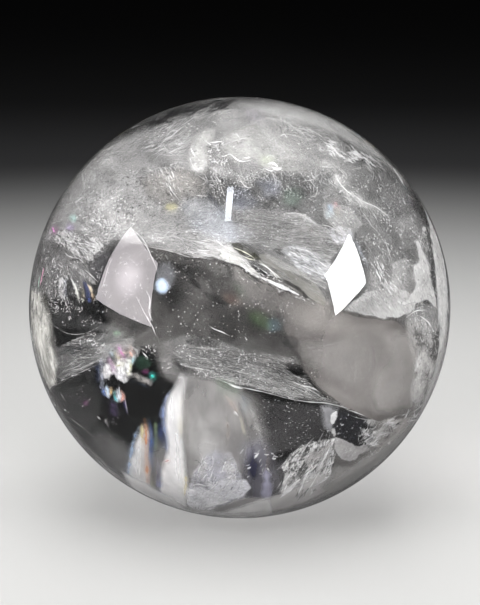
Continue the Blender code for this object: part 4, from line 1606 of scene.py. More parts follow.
LEFT_FROST = [
    ([[(83, 243), (86, 238), (92, 236), (98, 237), (104, 241), (104, 246), (99, 251), (95, 256),
       (90, 252), (87, 248)]],
     [(86, 243, 12, 0.8), (104, 243, 12, 0.85), (95, 253, 12, 0.8), (92, 240, 12, 0.9)], 0.6, PALE),
    ([[(58, 229), (70, 233), (84, 240), (94, 252), (95, 262), (86, 261), (72, 254), (62, 246),
       (54, 238)]],
     [(58, 230, 11, 0.8), (94, 258, 11, 0.5), (82, 243, 11, 0.35), (68, 236, 11, 0.6),
      (66, 248, 11, 0.45)], 0.6, PALE),
    ([[(68, 262), (74, 262), (84, 270), (94, 279), (99, 287), (92, 284), (80, 275), (70, 268)]],
     [(70, 264, 12, 0.5), (98, 286, 12, 0.55), (84, 273, 12, 0.55)], 0.3, GREY),
    ([[(58, 278), (64, 275), (68, 286), (66, 300), (60, 300), (57, 288)]],
     [(62, 277, 9, 0.9), (67, 287, 9, 0.9), (61, 299, 9, 0.9)], 0.2, MILK),
    ([GLITTER], [(45, 270, 11, 0), (80, 300, 13, 0.06), (60, 250, 12, 0.1)], 0.6, MILK),
]
films("left_frost", LEFT_FROST, feathered)
# Near-black wedges and lenses in the cracks under the left rim: painted shade.
LEFT_DARK_WEDGES = [
    ([[(86, 262), (98, 256), (108, 250), (112, 251), (108, 260), (104, 270), (99, 283), (90, 275)]],
     [(90, 264, 12, 0.8), (108, 253, 12, 0.8), (98, 278, 12, 0.8)], 0.3, (0.03, 0.03, 0.033)),
    ([[(67, 277), (71, 280), (75, 290), (77, 302), (70, 302), (66, 292)]],
     [(68, 279, 8.6, 0.95), (75, 292, 8.6, 0.95), (70, 300, 8.6, 0.95)], 0.2, DARK),
    ([[(82, 281), (86, 282), (90, 292), (92, 303), (88, 304), (84, 294)]],
     [(83, 282, 9.6, 0.95), (90, 295, 9.6, 0.95), (88, 302, 9.6, 0.95)], 0.2, (0.02, 0.03, 0.08)),
    ([[(56, 349), (66, 345), (80, 345), (92, 347), (84, 352), (72, 355), (60, 356)]],
     [(58, 351, 8, 0.5), (88, 348, 11, 0.4), (70, 354, 9, 0.5)], 0.3, DARK),
]
films("left_dark_wedges", LEFT_DARK_WEDGES, gap)
LEFT_SLIVERS = [
    ([(60, 231), (70, 235), (78, 242)], 0.7, 10, 0.7, WHITE),
    ([(64, 244), (76, 251), (88, 258)], 0.7, 10, 0.7, PALE),
    ([(70, 256), (80, 262), (90, 263)], 0.8, 11, 0.7, PALE),
    ([(71, 278), (75, 286), (77, 294)], 1.4, 8.4, 0.8, WHITE),
    ([(54, 280), (56, 292), (53, 302)], 1.2, 9, 0.8, PALE),
    ([(47, 284), (50, 296), (52, 308)], 1.2, 8, 0.7, PALE),
    ([(64, 298), (67, 306), (71, 313)], 1.2, 9, 0.8, PALE),
    ([(46, 318), (56, 327), (70, 334), (86, 333), (100, 326)], 1.2, (9, 14), 0.4, PALE),
    ([(60, 392), (63, 397), (66, 402)], 1, 6, 0.6, PALE),
    ([(70, 418), (78, 424), (85, 430)], 0.9, 7, 0.5, PALE),
    ([(64, 409), (66, 411)], 1.6, 6, 0.8, WHITE),
    ([(54, 404), (56, 406)], 1.6, 5, 0.8, WHITE),
    ([(64, 344), (80, 338), (95, 334), (110, 334)], 0.7, (9, 17), 0.6, PALE),
    ([(60, 382), (66, 379), (75, 375), (88, 369), (104, 361)], 0.8, (7, 14), 0.7, PALE),
    ([(58, 349), (70, 344), (82, 343), (96, 338)], 0.6, (8, 15), 0.6, PALE),
    ([(56, 360), (68, 365), (80, 362), (92, 364)], 0.6, (8, 14), 0.6, PALE),
    ([(58, 366), (66, 371), (78, 369), (90, 370)], 0.6, (8, 13), 0.6, PALE),
    ([(137, 298), (144, 312), (152, 326), (156, 336)], 1.2, (2, 2.6), 0.8, WHITE),
    ([(146, 290), (150, 300), (149, 312), (153, 322)], 1.2, 1.6, 0.8, WHITE),
    ([(136, 238), (146, 246), (152, 258), (158, 272)], 1.2, (1.6, 2), 0.8, WHITE),
    ([(130, 228), (140, 236), (150, 250)], 1, 1.6, 0.7, WHITE),
    ([(113, 256), (108, 268), (104, 282), (98, 296)], 1.2, 1.6, 0.6, PALE),
    ([(129, 258), (131, 261)], 1.6, 1.4, 1, DARK),
    ([(84, 269), (92, 276), (100, 284)], 0.9, 11, 0.7, PALE),
]
ribbons("left_slivers", LEFT_SLIVERS, stroke)
# Coloured edges of a thin crack. The white and cream slivers are painted highlights, and the dark blue
# one is painted shade.
LEFT_RAINBOW = [
    ([(66, 278), (65, 288), (67, 298)], 3, 8.4, 0.7, (0.26, 0.34, 0.6)),
    ([(70, 277), (75, 286), (78, 296), (79, 302)], 4.6, 8.4, 1, (0.88, 0.88, 0.82)),
    ([(80, 282), (83, 291), (84, 300)], 5, 9.4, 0.5, (0.34, 0.3, 0.18)),
    ([(84, 280), (88, 290), (90, 300)], 4.4, 9.2, 0.9, (0.05, 0.07, 0.2)),
    ([(87, 284), (91, 290), (92, 298)], 4.4, 8.8, 0.9, (0.9, 0.78, 0.62)),
    ([(90, 290), (93, 295), (93, 301)], 3.6, 8.6, 0.7, (0.5, 0.32, 0.18)),
]
ribbons("left_rainbow", LEFT_RAINBOW, shining)
LEFT_FAN = [
    ([FAN],
     [(55, 350, 9, 0.1), (135, 342, 22, 0.24), (60, 382, 9, 0.15), (110, 350, 17, 0.2),
      (84, 362, 12, 0.14)], 1.5, MILK),
]
films("left_fan", LEFT_FAN, smoke)
LEFT_THREADS_LOW = [
    ([FAN], [(55, 350, 8, 0.9), (135, 342, 21, 0.3), (60, 382, 8, 0.9)], 110, (5, 26), 0.42, (10, 16),
     40, 9, 0.6, 0.55, PALE),
    ([FAN], [(55, 350, 8.4, 0.7), (135, 342, 21.4, 0.1), (60, 382, 8.4, 0.7)], 40, (5, 14), 1, (8, 20),
     40, 9, 0.6, 0.25, DARK),
    strands([(76, 340), (96, 334), (108, 336), (106, 352), (88, 358), (76, 352)], 12, 70, (1.2, 3),
            0.9, (0, 90), (0.05, 0.035, 0.045), 0.7),
    strands([(78, 342), (96, 336), (108, 338), (104, 352), (88, 356)], 11.6, 50, (1, 2.4), 0.6,
            (0, 90), WHITE, 0.7),
    strands([(140, 346), (152, 344), (162, 352), (156, 362), (144, 360)], 16, 34, (1, 2.4), 0.7,
            (0, 90), WHITE, 0.8),
    strands([(138, 346), (152, 344), (164, 352), (158, 366), (142, 364)], 16.4, 50, (1, 3), 1, (0, 90),
            DARK, 0.8),
    ([[(34, 300), (44, 300), (54, 330), (58, 360), (60, 388), (50, 385), (44, 360), (37, 330)]],
     [(38, 305, 5, 0.8), (56, 330, 7, 0.8), (55, 380, 5, 1)], 50, (3, 12), 0.6, (-72, 12), 12, 8, 0.6,
     0.35, PALE),
    ([GLITTER], GLITTER_FRONT, 90, (1.5, 5), 0.6, (70, 40), 20, 5, 1, 0.9, WHITE),
    ([GLITTER], nearer(GLITTER_FRONT, 1), 130, (2, 6), 1, (70, 40), 20, 5, 1, 0.9, DARK),
    ([SCRATCHED], SCRATCHED_FRONT, 90, (3, 14), 0.6, (-36, 14), 24, 6, 0.6, 0.85, WHITE),
    ([SCRATCHED], nearer(SCRATCHED_FRONT, 1), 90, (3, 12), 0.9, (-36, 14), 24, 6, 0.4, 0.9, DARK),
]
wisps("left_threads_low", LEFT_THREADS_LOW, thread, seed=10)
LEFT_GLITTER = [
    ([GLITTER], GLITTER_FRONT, 480, (70, 40)),
    ([SCRATCHED], SCRATCHED_FRONT, 260, (-36, 40)),
    ([[(84, 334), (106, 332), (106, 346), (86, 346)]],
     [(84, 336, 11, 1), (106, 334, 15, 1), (96, 346, 13, 1)], 60, (0, 60)),
    ([[(96, 296), (112, 300), (100, 330), (80, 326), (84, 310)]],
     [(96, 300, 11, 1), (100, 328, 12, 1), (84, 320, 11, 1)], 50, (0, 60)),
]
flakes(
    "left_glitter",
    grains(LEFT_GLITTER, length=0.24, width=0.13, lean=40, clump=5, spread=1),
    white_flake,
    seed=12,
)
striped = veil_finish(
    "striped", (0.8, 1.12), streak=(-73.0, 4.0), ragged=5.0, ragged_size=1.6, patch_size=1.3,
    patch_roughness=0.7, twist=0.2, grain_size=0.4, grain_depth=0.15, thread_size=1.2,
    thread_width=0.04, threads=0.8,
)
LEFT_RIM_STRIPES = [
    ([[(29, 286), (42, 290), (50, 306), (54, 326), (57, 346), (59, 366), (58, 384), (50, 392),
       (40, 376), (34, 356), (30, 338), (27, 314)]],
     [(32, 296, 2, 0.7), (48, 387, 3, 1), (54, 340, 7, 0.22), (36, 340, 3, 1), (46, 300, 5, 0.2),
      (54, 370, 6, 0.5)], 0.3, (0.92, 0.91, 0.84)),
    ([[(30, 296), (32, 272), (38, 248), (47, 226), (58, 206), (70, 192), (66, 206), (56, 226),
       (47, 248), (41, 272), (40, 296)]], [(34, 290, 3, 0.52), (45, 240, 3, 0.22), (66, 198, 3, 0.05)],
     0.3, MILK),
]
films("left_rim_stripes", LEFT_RIM_STRIPES, striped)


# The flare. White splinters shine in the clear corner on the left, each with coloured edges.
# They are small broken faces inside a crack, which throw the lamps straight back, so their white
# is a painted reflection of the lamps.
flaring = veil_finish(
    "flaring", (0.94, 1.06), fade=3.6, ragged_size=0.9, patch_size=0.8, patch_depth=0.6,
    patch_roughness=0.6, grain_depth=0.05,
)
BLUISH = (0.72, 0.85, 1.0)
# White and bluish splinters: painted reflections of the lamps.
FLARE_SPLINTERS = [
    level([(101, 366), (106, 362), (113, 363), (120, 357), (129, 356), (134, 360), (133, 369),
           (131, 378), (126, 384), (119, 382), (114, 376), (109, 380), (102, 379), (100, 372)], 17, 1,
          WHITE),
    level([(108, 366), (115, 362), (117, 372), (113, 377), (109, 374)], 16.6, 0.6, (0.46, 0.34, 0.48)),
    level([(97, 356), (105, 358), (106, 376), (103, 392), (99, 388), (98, 374)], 17.5, 0.6,
          (0.5, 0.53, 0.62)),
    level([(94, 366), (100, 362), (100, 376), (100, 388), (96, 384)], 18, 0.6, (0.05, 0.08, 0.2)),
    level([(102, 387), (106, 384), (110, 386), (112, 392), (110, 400), (106, 398), (103, 392)], 17, 1,
          BLUISH),
    level([(114, 391), (118, 388), (122, 391), (124, 398), (119, 405), (115, 401)], 17, 1,
          (0.84, 0.92, 0.98)),
    level([(110, 398), (119, 404), (121, 414), (114, 418), (107, 410)], 19, 0.35, (0.12, 0.08, 0.2)),
    level([(126, 370), (140, 374), (154, 380), (151, 387), (138, 382), (127, 377)], 18, 0.7,
          (0.46, 0.44, 0.42)),
    level([(98, 346), (112, 340), (128, 342), (141, 347), (140, 358), (126, 366), (110, 368),
           (96, 362)], 18.4, 0.42, (0.56, 0.56, 0.55)),
    spot(152.6, 376, 6, 6, 0, 17.6, 0.5, (0.02, 0.2, 0.17), 0.1),
    spot(152.6, 376.2, 2.8, 3, 0, 17, 1, (0.1, 0.95, 0.82), 0.1),
    spot(145.5, 372, 5, 4, 20, 17.6, 0.5, (0.26, 0.04, 0.18), 0.1),
    spot(143, 363, 9, 9, 0, 20, 0.5, (0.03, 0.085, 0.05), 0.1),
    spot(107, 422, 3, 4.6, 30, 9, 0.6, GREY, 0.1),
]
films("flare_splinters", FLARE_SPLINTERS, flaring)
FLARE_TINTS = [
    ([(110, 362), (118, 366), (126, 363)], 7, 16, 0.8, (0.78, 0.8, 0.5)),
    ([(116, 373), (121, 377), (126, 375)], 7, 16, 0.7, (0.6, 0.58, 0.7)),
    ([(131, 362), (130, 370), (127, 377)], 7, 16, 0.9, (0.86, 0.86, 0.5)),
    ([(129, 352), (133, 357), (132, 365)], 7.5, 16, 1, (0.5, 0.84, 0.92)),
    ([(109, 356), (112, 364), (115, 371)], 7.5, 16, 0.7, (0.6, 0.32, 0.56)),
    ([(118, 344), (120, 350), (122, 357)], 9, 16, 0.7, (0.58, 0.34, 0.54)),
    ([(127, 344), (131, 348), (134, 351)], 8, 16, 0.6, (0.78, 0.5, 0.42)),
    ([(118, 351), (124, 353), (128, 352)], 7, 16, 0.9, (0.8, 0.8, 0.42)),
    ([(111, 348), (112, 354), (114, 358)], 7, 16, 0.9, (0.46, 0.72, 0.9)),
    ([(108, 367), (111, 371), (112, 376)], 2.6, 16, 0.8, (0.88, 0.74, 0.46)),
    ([(111, 386), (111, 391), (110, 397)], 6, 16, 1, (0.84, 0.6, 0.3)),
    ([(103, 388), (104, 393), (106, 398)], 6, 16, 0.9, (0.22, 0.38, 0.86)),
    ([(114, 391), (115, 397), (118, 403)], 6, 16, 1, (0.2, 0.8, 0.86)),
    ([(121, 390), (123, 397), (120, 403)], 6, 16, 1, (0.92, 0.5, 0.4)),
    ([(130, 380), (141, 384.5), (151, 389)], 2.6, 17, 0.8, (0.16, 0.22, 0.34)),
    ([(105, 378), (107, 383), (104, 388)], 2.4, 16, 0.7, (0.3, 0.32, 0.4)),
    ([(118, 381), (119, 386), (118, 391)], 2.4, 16, 0.7, (0.34, 0.34, 0.38)),
]
ribbons("flare_tints", FLARE_TINTS, glow)
# The white strokes on the splinters are painted highlights.
FLARE_EDGES = [
    ([(124, 396), (126, 405), (128, 415)], 2, 17, 0.6, (0.5, 0.48, 0.56)),
    ([(122.5, 397), (124.5, 406), (127, 415)], 1.4, 17.2, 0.8, (0.05, 0.05, 0.2)),
    ([(117, 360), (121, 366), (120, 374)], 1, 15.6, 0.6, (0.62, 0.62, 0.68)),
    ([(126, 360), (123, 368), (125, 376)], 1, 15.6, 0.6, (0.62, 0.66, 0.6)),
    ([(119, 386), (119.5, 393), (121, 400)], 1, 15.6, 0.8, WHITE),
    ([(104, 366), (106, 371), (109, 375)], 1.2, 15.6, 0.9, WHITE),
    ([(97, 416), (99, 418), (101, 420)], 1.4, 9, 0.8, PALE),
    ([(142, 352), (145, 355), (148, 358)], 1.2, 15.6, 0.8, WHITE),
    ([(105, 389), (107, 394), (109, 398)], 1, 15.6, 0.9, WHITE),
]
ribbons("flare_edges", FLARE_EDGES, stroke)


# Columns. Smooth smoky columns and bright streaks show in the lower part of the stone, blurred
# by the deep crystal in front of them, with coloured fringes. They are painted reflections in the
# back of the skin, drawn as films inside the stone, with painted colour fringes.
columnar = veil_finish(
    "columnar", (0.92, 1.06), streak=(-85.0, 4.0), fade=12.0, ragged=7.0, ragged_size=4.0,
    patch_size=3.5, patch_depth=0.3, patch_contrast=3.0, twist=0.2, grain_depth=0.03,
)
streaming = veil_finish(
    "streaming", (0.95, 1.08), streak=(-86.0, 5.0), fade=5.5, ragged=1.6, patch_size=2.0,
    patch_depth=0.2, patch_contrast=3.0, grain_depth=0.02,
)
# Grey columns of painted reflection.
PAINTED_REFLECTED_COLUMNS = [
    ([[(172, 372), (190, 366), (212, 370), (234, 380), (250, 392), (264, 410), (272, 432), (268, 452),
       (254, 460), (250, 480), (252, 508), (235, 516), (205, 514), (180, 504), (176, 440), (172, 400)]],
     [(185, 385, 24, 0.38), (215, 395, 25, 0.48), (258, 430, 26, 0.5), (225, 500, 22, 0.85),
      (190, 490, 23, 0.85), (190, 440, 24, 0.8), (215, 450, 24, 0.82), (240, 440, 24, 0.6)], 1.5,
     (0.56, 0.545, 0.535)),
    ([[(236, 440), (262, 432), (278, 452), (278, 480), (270, 514), (240, 514), (236, 480)]],
     [(246, 452, 20, 0.86), (266, 460, 20, 0.7), (255, 500, 19, 0.85)], 1, (0.25, 0.245, 0.28)),
    ([[(96, 424), (112, 430), (128, 440), (138, 452), (146, 470), (148, 493), (134, 492), (112, 478),
       (94, 460), (84, 440)]], [(100, 434, 18, 0.15), (138, 465, 22, 0.35), (115, 474, 16, 0.25)], 1,
     GREY),
    ([[(240, 386), (262, 392), (278, 420), (274, 452), (262, 470), (250, 454), (244, 424)]],
     [(250, 396, 22, 0.2), (268, 425, 22, 0), (258, 455, 22, 0)], 1, (0.58, 0.565, 0.555)),
    level([(256, 462), (284, 458), (290, 478), (302, 494), (282, 508), (258, 512), (250, 494)], 24,
          0.5, (0.46, 0.45, 0.47)),
    ([[(186, 420), (206, 410), (226, 418), (232, 444), (220, 462), (200, 466), (184, 448)]],
     [(196, 424, 20, 0.12), (222, 424, 20, 0.08), (205, 454, 20, 0.5)], 1, PALE),
]
films("painted_reflected_columns", PAINTED_REFLECTED_COLUMNS, columnar)
# Bright streaks of painted reflection.
PAINTED_REFLECTED_STREAKS = [
    ([[(180, 370), (173, 384), (166, 396), (163, 410), (163, 428), (165, 442), (165, 452), (161, 464),
       (157, 486), (155, 508), (168, 513), (189, 515), (190, 490), (188, 468), (186, 448), (185, 430),
       (185, 412), (186, 394), (188, 378)]],
     [(180, 376, 18, 0.3), (174, 410, 18, 0.9), (176, 450, 18, 1), (176, 478, 17, 1),
      (172, 508, 17, 1)], 0.5, (0.98, 0.98, 0.97)),
    ([[(150, 415), (144, 420), (137, 432), (131, 448), (127, 464), (123, 482), (122, 493), (138, 501),
       (152, 506), (152, 480), (151, 450), (153, 428)]],
     [(148, 422, 17, 0.05), (143, 442, 17, 0.8), (138, 482, 17, 1)], 0.5, (0.92, 0.92, 0.91)),
    ([[(146, 430), (154, 426), (164, 434), (172, 452), (172, 480), (168, 514), (144, 508), (143, 470)]],
     [(152, 434, 19, 0.1), (158, 464, 19, 0.85), (155, 496, 19, 0.95)], 0.5, (0.38, 0.38, 0.37)),
]
films("painted_reflected_streaks", PAINTED_REFLECTED_STREAKS, streaming)
COLUMN_LINES = [
    ([(172, 394), (171, 408), (173, 424)], 7, 16, 0.9, WHITE),
    ([(176, 432), (178, 455), (179, 484)], 9, 16, 1, WHITE),
    ([(140, 440), (138, 456), (138, 484)], 8, 16, 0.9, WHITE),
    ([(157, 432), (158, 462), (156, 498)], 6, 18, 0.7, (0.16, 0.16, 0.17)),
    ([(186, 388), (187, 430), (189, 460)], 12, 16, 0.55, (0.3, 0.29, 0.27)),
    ([(200, 418), (206, 440), (203, 464)], 20, 18, 0.2, (0.8, 0.79, 0.77)),
    ([(226, 416), (228, 430), (227, 446)], 8, 18, 0.8, (0.34, 0.3, 0.28)),
    ([(224, 394), (233, 405), (240, 418)], 10, 18, 0.7, (0.42, 0.33, 0.29)),
    ([(238, 402), (245, 420), (249, 436), (252, 450)], 8, 18, 0.8, (0.16, 0.155, 0.15)),
    ([(248, 400), (254, 416), (259, 432), (264, 448)], 8, 18, 0.42, (0.6, 0.59, 0.57)),
    ([(252, 444), (253, 462), (254, 480)], 16, 17, 1, (0.03, 0.03, 0.06)),
    ([(251, 476), (251, 492), (250, 508)], 12, 17, 0.75, (0.09, 0.09, 0.1)),
    ([(266, 468), (267, 488), (263, 510)], 14, 17, 1, (0.5, 0.49, 0.62)),
]
ribbons("column_lines", COLUMN_LINES, streaming)
# Painted colour fringes along the edges of the reflected streaks.
STREAK_FRINGES = [
    ([(170, 390), (165, 402), (163, 414), (165, 430), (167, 446), (166, 456)], 8, 15, 0.9,
     (0.34, 0.42, 0.66)),
    ([(161, 466), (160, 484), (158, 504)], 8, 15, 0.9, (0.26, 0.3, 0.46)),
    ([(181, 396), (180, 424), (182, 440)], 8, 15, 0.5, (0.8, 0.72, 0.52)),
    ([(185, 470), (186, 484), (184, 500)], 8, 15, 0.9, (0.88, 0.78, 0.48)),
    ([(163, 462), (167, 461), (171, 459)], 7, 14, 1, (0.8, 0.46, 0.42)),
    ([(139, 426), (133, 443), (129, 466), (126, 488)], 8, 15, 0.9, (0.46, 0.6, 0.82)),
    ([(144, 418), (146, 430), (146, 448), (147, 466), (148, 490)], 8.6, 15, 1, (0.6, 0.26, 0.11)),
    ([(142, 422), (142, 434), (141, 450)], 7, 15, 0.8, (0.92, 0.82, 0.46)),
    ([(150, 420), (151, 434), (151, 454), (152, 474)], 9, 14.8, 1, (0.04, 0.12, 0.38)),
    ([(155, 420), (156, 434), (155, 452)], 7, 14.8, 0.9, (0.32, 0.46, 0.26)),
    ([(159, 422), (161, 436), (165, 450)], 8, 14.8, 0.8, (0.05, 0.08, 0.24)),
    ([(152, 474), (153, 488), (152, 504)], 7, 15, 0.7, (0.4, 0.38, 0.24)),
    ([(157, 458), (158, 474), (156, 492)], 7, 15, 0.6, (0.3, 0.26, 0.42)),
    ([(240, 414), (242, 424), (245, 436)], 7, 17, 0.7, (0.62, 0.58, 0.42)),
    ([(266, 444), (268, 460), (266, 474)], 7, 18, 0.6, (0.4, 0.33, 0.28)),
]
ribbons("streak_fringes", STREAK_FRINGES, glow)
COLUMN_GLINTS = [
    ([(234, 411), (236, 413), (238, 416)], 2.4, 16, 1, WHITE),
]
ribbons("column_glints", COLUMN_GLINTS, stroke)


# The frost. Feathered crests and long glassy shards fill two hollows near the bottom.
# They are the rough walls of open fractures, broken when the stone was ground or knocked.
icy = veil_finish(
    "icy", (0.76, 1.12), streak=(50.0, 2.4), fade=3.4, ragged=4.5, ragged_size=1.6,
    patch_size=1.8, patch_depth=0.55, patch_roughness=0.68, twist=0.8, grain_depth=0.15,
    specks=0.3, pits=0.4,
)
frosty = veil_finish(
    "frosty", streak=(60.0, 2.5), fade=2.0, ragged=3.0, ragged_size=1.4, patch_size=1.8,
    patch_depth=0.75, patch_contrast=6.0, patch_roughness=0.8, twist=0.8, grain_size=0.3,
    grain_depth=0.3, thread_size=1.6, thread_width=0.03, threads=0.8, specks=0.5, pits=0.4,
)
COOL = (0.60, 0.60, 0.64)
LOBE_EDGE = [
    (230, 480), (240, 480), (248, 482), (250, 487), (248, 493), (243, 497), (236, 500), (229, 500),
]
BOTTOM_FROST = [
    ([[(187, 510), (185, 491), (189, 480), (196, 464), (205, 451), (220, 446), (233, 453), (239, 468),
       (247, 480), (251, 488), (245, 499), (230, 505), (212, 512), (196, 513)]],
     [(190, 500, 12, 0.85), (245, 492, 12, 0.85), (214, 450, 16, 0.1), (215, 482, 14, 0.85)], 1, COOL),
    level([(204, 456), (216, 447), (228, 456), (228, 474), (218, 488), (206, 482), (202, 470)], 13,
          0.36, (0.44, 0.45, 0.56)),
    level([(186, 488), (196, 487), (208, 489), (220, 491), (228, 498), (216, 508), (200, 513),
           (187, 511)], 9, 1, (0.86, 0.86, 0.88)),
    level(LOBE_EDGE, 9.6, 1, (0.86, 0.86, 0.9)),
    level([(206, 490), (222, 478), (238, 476), (236, 486), (222, 496), (210, 500)], 9.8, 0.7, PALE),
    level([(197, 476), (198, 466), (204, 459), (210, 459), (208, 470), (204, 478)], 11, 0.85, MILK),
    level([(220, 459), (230, 460), (238, 470), (237, 480), (228, 479), (221, 470)], 12, 0.62, PALE),
    level([(188, 478), (199, 475), (207, 480), (212, 492), (204, 494), (194, 489)], 10, 0.55,
          (0.14, 0.14, 0.17)),
    level([(212, 486), (222, 480), (230, 484), (226, 494), (214, 494)], 10, 0.35, (0.26, 0.26, 0.3)),
]
films("bottom_frost", BOTTOM_FROST, icy)
FROST_LIGHT = [
    level([(212, 486), (226, 478), (247, 480), (252, 488), (244, 497), (230, 502), (214, 500)], 9.4,
          0.85, (0.84, 0.84, 0.88)),
    level([(185, 489), (200, 486), (214, 491), (224, 501), (210, 513), (190, 515)], 9.2, 0.7,
          (0.82, 0.82, 0.84)),
]
films("frost_light", FROST_LIGHT, chalky)
FROST_CRESTS = [
    ([(187, 492), (191, 490.5), (197, 490)], 2.2, 8.5, 1, WHITE),
    ([(187, 493), (189, 498), (191, 502)], 1.8, 8.5, 0.9, WHITE),
    ([(190, 505), (193, 508), (196, 511)], 2.2, 8.5, 0.9, WHITE),
    ([(204, 512), (209, 509), (215, 508)], 1.8, 8.5, 0.9, WHITE),
    ([(205, 507), (213, 505), (221, 503), (229, 501)], 3, 8.5, 1, WHITE),
    ([(214, 498), (222, 490), (232, 480)], 1.5, 9, 0.95, WHITE),
    ([(218, 501), (224, 495), (231, 490)], 1.6, 9, 0.95, WHITE),
    ([(226, 500), (230, 494), (236, 489)], 1.8, 9, 0.95, WHITE),
    ([(232, 498), (238, 494), (244, 492)], 1, 9, 0.8, WHITE),
    ([(234, 494), (240, 489), (248, 487)], 1, 9, 0.8, WHITE),
    ([(236, 489), (241, 485), (246, 483)], 1, 9, 0.8, WHITE),
    ([(222, 472), (224, 466), (226, 461)], 1.8, 11, 0.9, WHITE),
    ([(228, 474), (231, 468), (234, 468)], 1.4, 11, 0.9, WHITE),
    ([(229, 478), (233, 474), (236, 479)], 1.6, 11, 0.9, WHITE),
    ([(198, 474), (199, 469), (202, 464)], 1.6, 11, 0.9, WHITE),
    ([(202, 481), (205, 476), (208, 474)], 1.4, 11, 0.9, WHITE),
    ([(206, 484), (210, 478), (212, 473)], 1.6, 11, 0.85, WHITE),
    ([(192, 486), (198, 484), (206, 486), (212, 484)], 1.6, 9, 0.8, WHITE),
    ([(206, 493), (212, 488), (218, 482)], 1.6, 9, 0.8, WHITE),
    ([(212, 455), (213, 460), (213, 466)], 1.5, 11, 0.8, WHITE),
    ([(240, 454), (242, 451), (244, 449)], 1.8, 13, 0.95, WHITE),
    ([(254, 459), (256, 456), (259, 453)], 2.6, 13, 1, WHITE),
    ([(264, 454), (267, 455), (269, 454)], 2, 13, 0.9, WHITE),
    ([(272, 458), (274, 459), (276, 458)], 2.2, 13, 0.9, WHITE),
    ([(247, 469), (249, 468), (251, 467)], 2.2, 13, 0.9, WHITE),
    ([(272, 505), (277, 501), (283, 495), (291, 488), (300, 479)], 4, 9, 1, WHITE),
    ([(281, 499), (284, 492), (287, 484)], 2, 9, 0.9, WHITE),
    ([(296, 499), (301, 488), (307, 474), (313, 469), (320, 461)], 2.2, 9, 1, WHITE),
    ([(310, 488), (318, 484), (328, 478)], 2.2, 9, 0.6, WHITE),
    ([(320, 466), (325, 457), (330, 447)], 2.2, 9, 0.95, WHITE),
    ([(327, 480), (331, 466), (334, 450)], 1.6, 9, 0.5, WHITE),
    ([(303, 497), (311, 486), (319, 472)], 1.4, 9, 0.85, WHITE),
]
ribbons("frost_crests", FROST_CRESTS, stroke)
SHARDS = [
    (277, 501), (281, 488), (284, 478), (281, 466), (290, 454), (300, 446), (318, 440),
    (336, 437), (337, 452), (333, 466), (331, 479), (314, 489), (300, 500), (290, 494),
]
SHARDS_FRONT = [(278, 498, 11, 0.8), (334, 440, 17, 0.7), (330, 475, 11, 1.0)]
BOTTOM_SHARDS = [
    ([SHARDS],
     [(278, 498, 12, 0.85), (334, 440, 18, 0.65), (330, 475, 12, 0.95), (296, 460, 14, 0.6),
      (290, 490, 12, 0.85)], 1.5, PALE),
]
films("bottom_shards", BOTTOM_SHARDS, frosty)
SHARD_FACETS = [
    level([(294, 500), (299, 482), (305, 472), (312, 468), (320, 460), (328, 460), (323, 471),
           (313, 483), (304, 494)], 10.5, 0.9, PALE),
    level([(306, 470), (306, 456), (316, 446), (332, 443), (332, 460), (320, 472)], 13, 0.85,
          (0.58, 0.56, 0.55)),
    level([(310, 490), (318, 478), (328, 466), (332, 474), (326, 482)], 10.5, 0.9, PALE),
    level([(278, 499), (288, 487), (298, 476), (304, 482), (292, 495), (281, 503)], 11, 0.8, MILK),
]
films("shard_facets", SHARD_FACETS, icy)
DOWN_LOW = [
    (190, 512), (196, 492), (212, 488), (232, 478), (250, 486), (244, 499), (228, 506), (208, 512),
]
DOWN_HIGH = [(190, 488), (198, 462), (212, 448), (230, 454), (240, 474), (226, 486), (208, 494)]
SPIKES = [(360, 430), (392, 417), (412, 412), (416, 416), (392, 432), (374, 448), (360, 444)]
FROST_THREADS = [
    ([SHARDS], SHARDS_FRONT, 80, (5, 20), 0.8, (56, 9), 12, 8, 0.8, 0.9, WHITE),
    ([SHARDS], nearer(SHARDS_FRONT, 1), 60, (4, 16), 1.1, (56, 10), 14, 8, 0.5, 0.8, DARK),
    strands([(278, 478), (290, 454), (318, 440), (336, 437), (322, 456), (300, 470)], 13, 90, (1.5, 5),
            1.6, (60, 26), DARK),
    strands([(284, 476), (294, 456), (318, 442), (334, 440), (322, 458), (302, 472)], 12.6, 70,
            (1.5, 5), 1.2, (60, 26), WHITE),
    strands([(294, 500), (304, 474), (318, 456), (334, 446), (332, 474), (314, 490)], 9.6, 80, (2, 7),
            1.3, (58, 20), DARK, 0.8),
    strands([(290, 502), (304, 472), (318, 456), (334, 448), (332, 476), (312, 492)], 9.2, 80, (2, 8),
            1.2, (58, 20), WHITE, 0.9),
    strands(DOWN_LOW, 8.6, 120, (2, 10), 0.8, (42, 18), WHITE, 0.8),
    strands(DOWN_LOW, 8.4, 60, (1.5, 6), 0.8, (42, 24), (0.14, 0.14, 0.17), 0.8),
    strands(DOWN_HIGH, 10.5, 150, (1.5, 6), 0.8, (58, 34), WHITE, 0.9),
    strands(DOWN_HIGH, 10.2, 100, (1.2, 4), 0.9, (58, 40), (0.06, 0.06, 0.08), 0.8),
    strands([(244, 448), (270, 442), (285, 452), (282, 480), (262, 480), (244, 476)], 14, 18, (2, 5),
            1, (20, 30), WHITE),
    strands(SPIKES, 8.4, 60, (3, 14), 0.8, (28, 26), WHITE, 0.8),
    strands(SPIKES, 8, 34, (2, 8), 1.2, (40, 30), DARK, 0.8),
]
wisps("frost_threads", FROST_THREADS, thread, seed=13)


# The chip. A dark hollow near the right edge is ringed with pale flakes and rough white frost.
# The quartz round it is crushed, and light that enters the hollow doesn't come back. The hollow
# is a near-black film of painted shade, and the white piece on its left edge is a painted
# highlight.
broken = veil_finish(
    "broken", fade=1.4, ragged=3.0, ragged_size=1.1, patch_size=1.4, patch_depth=0.25,
    patch_roughness=0.75, grain_depth=0.1, speck_size=0.5, specks=0.4,
)
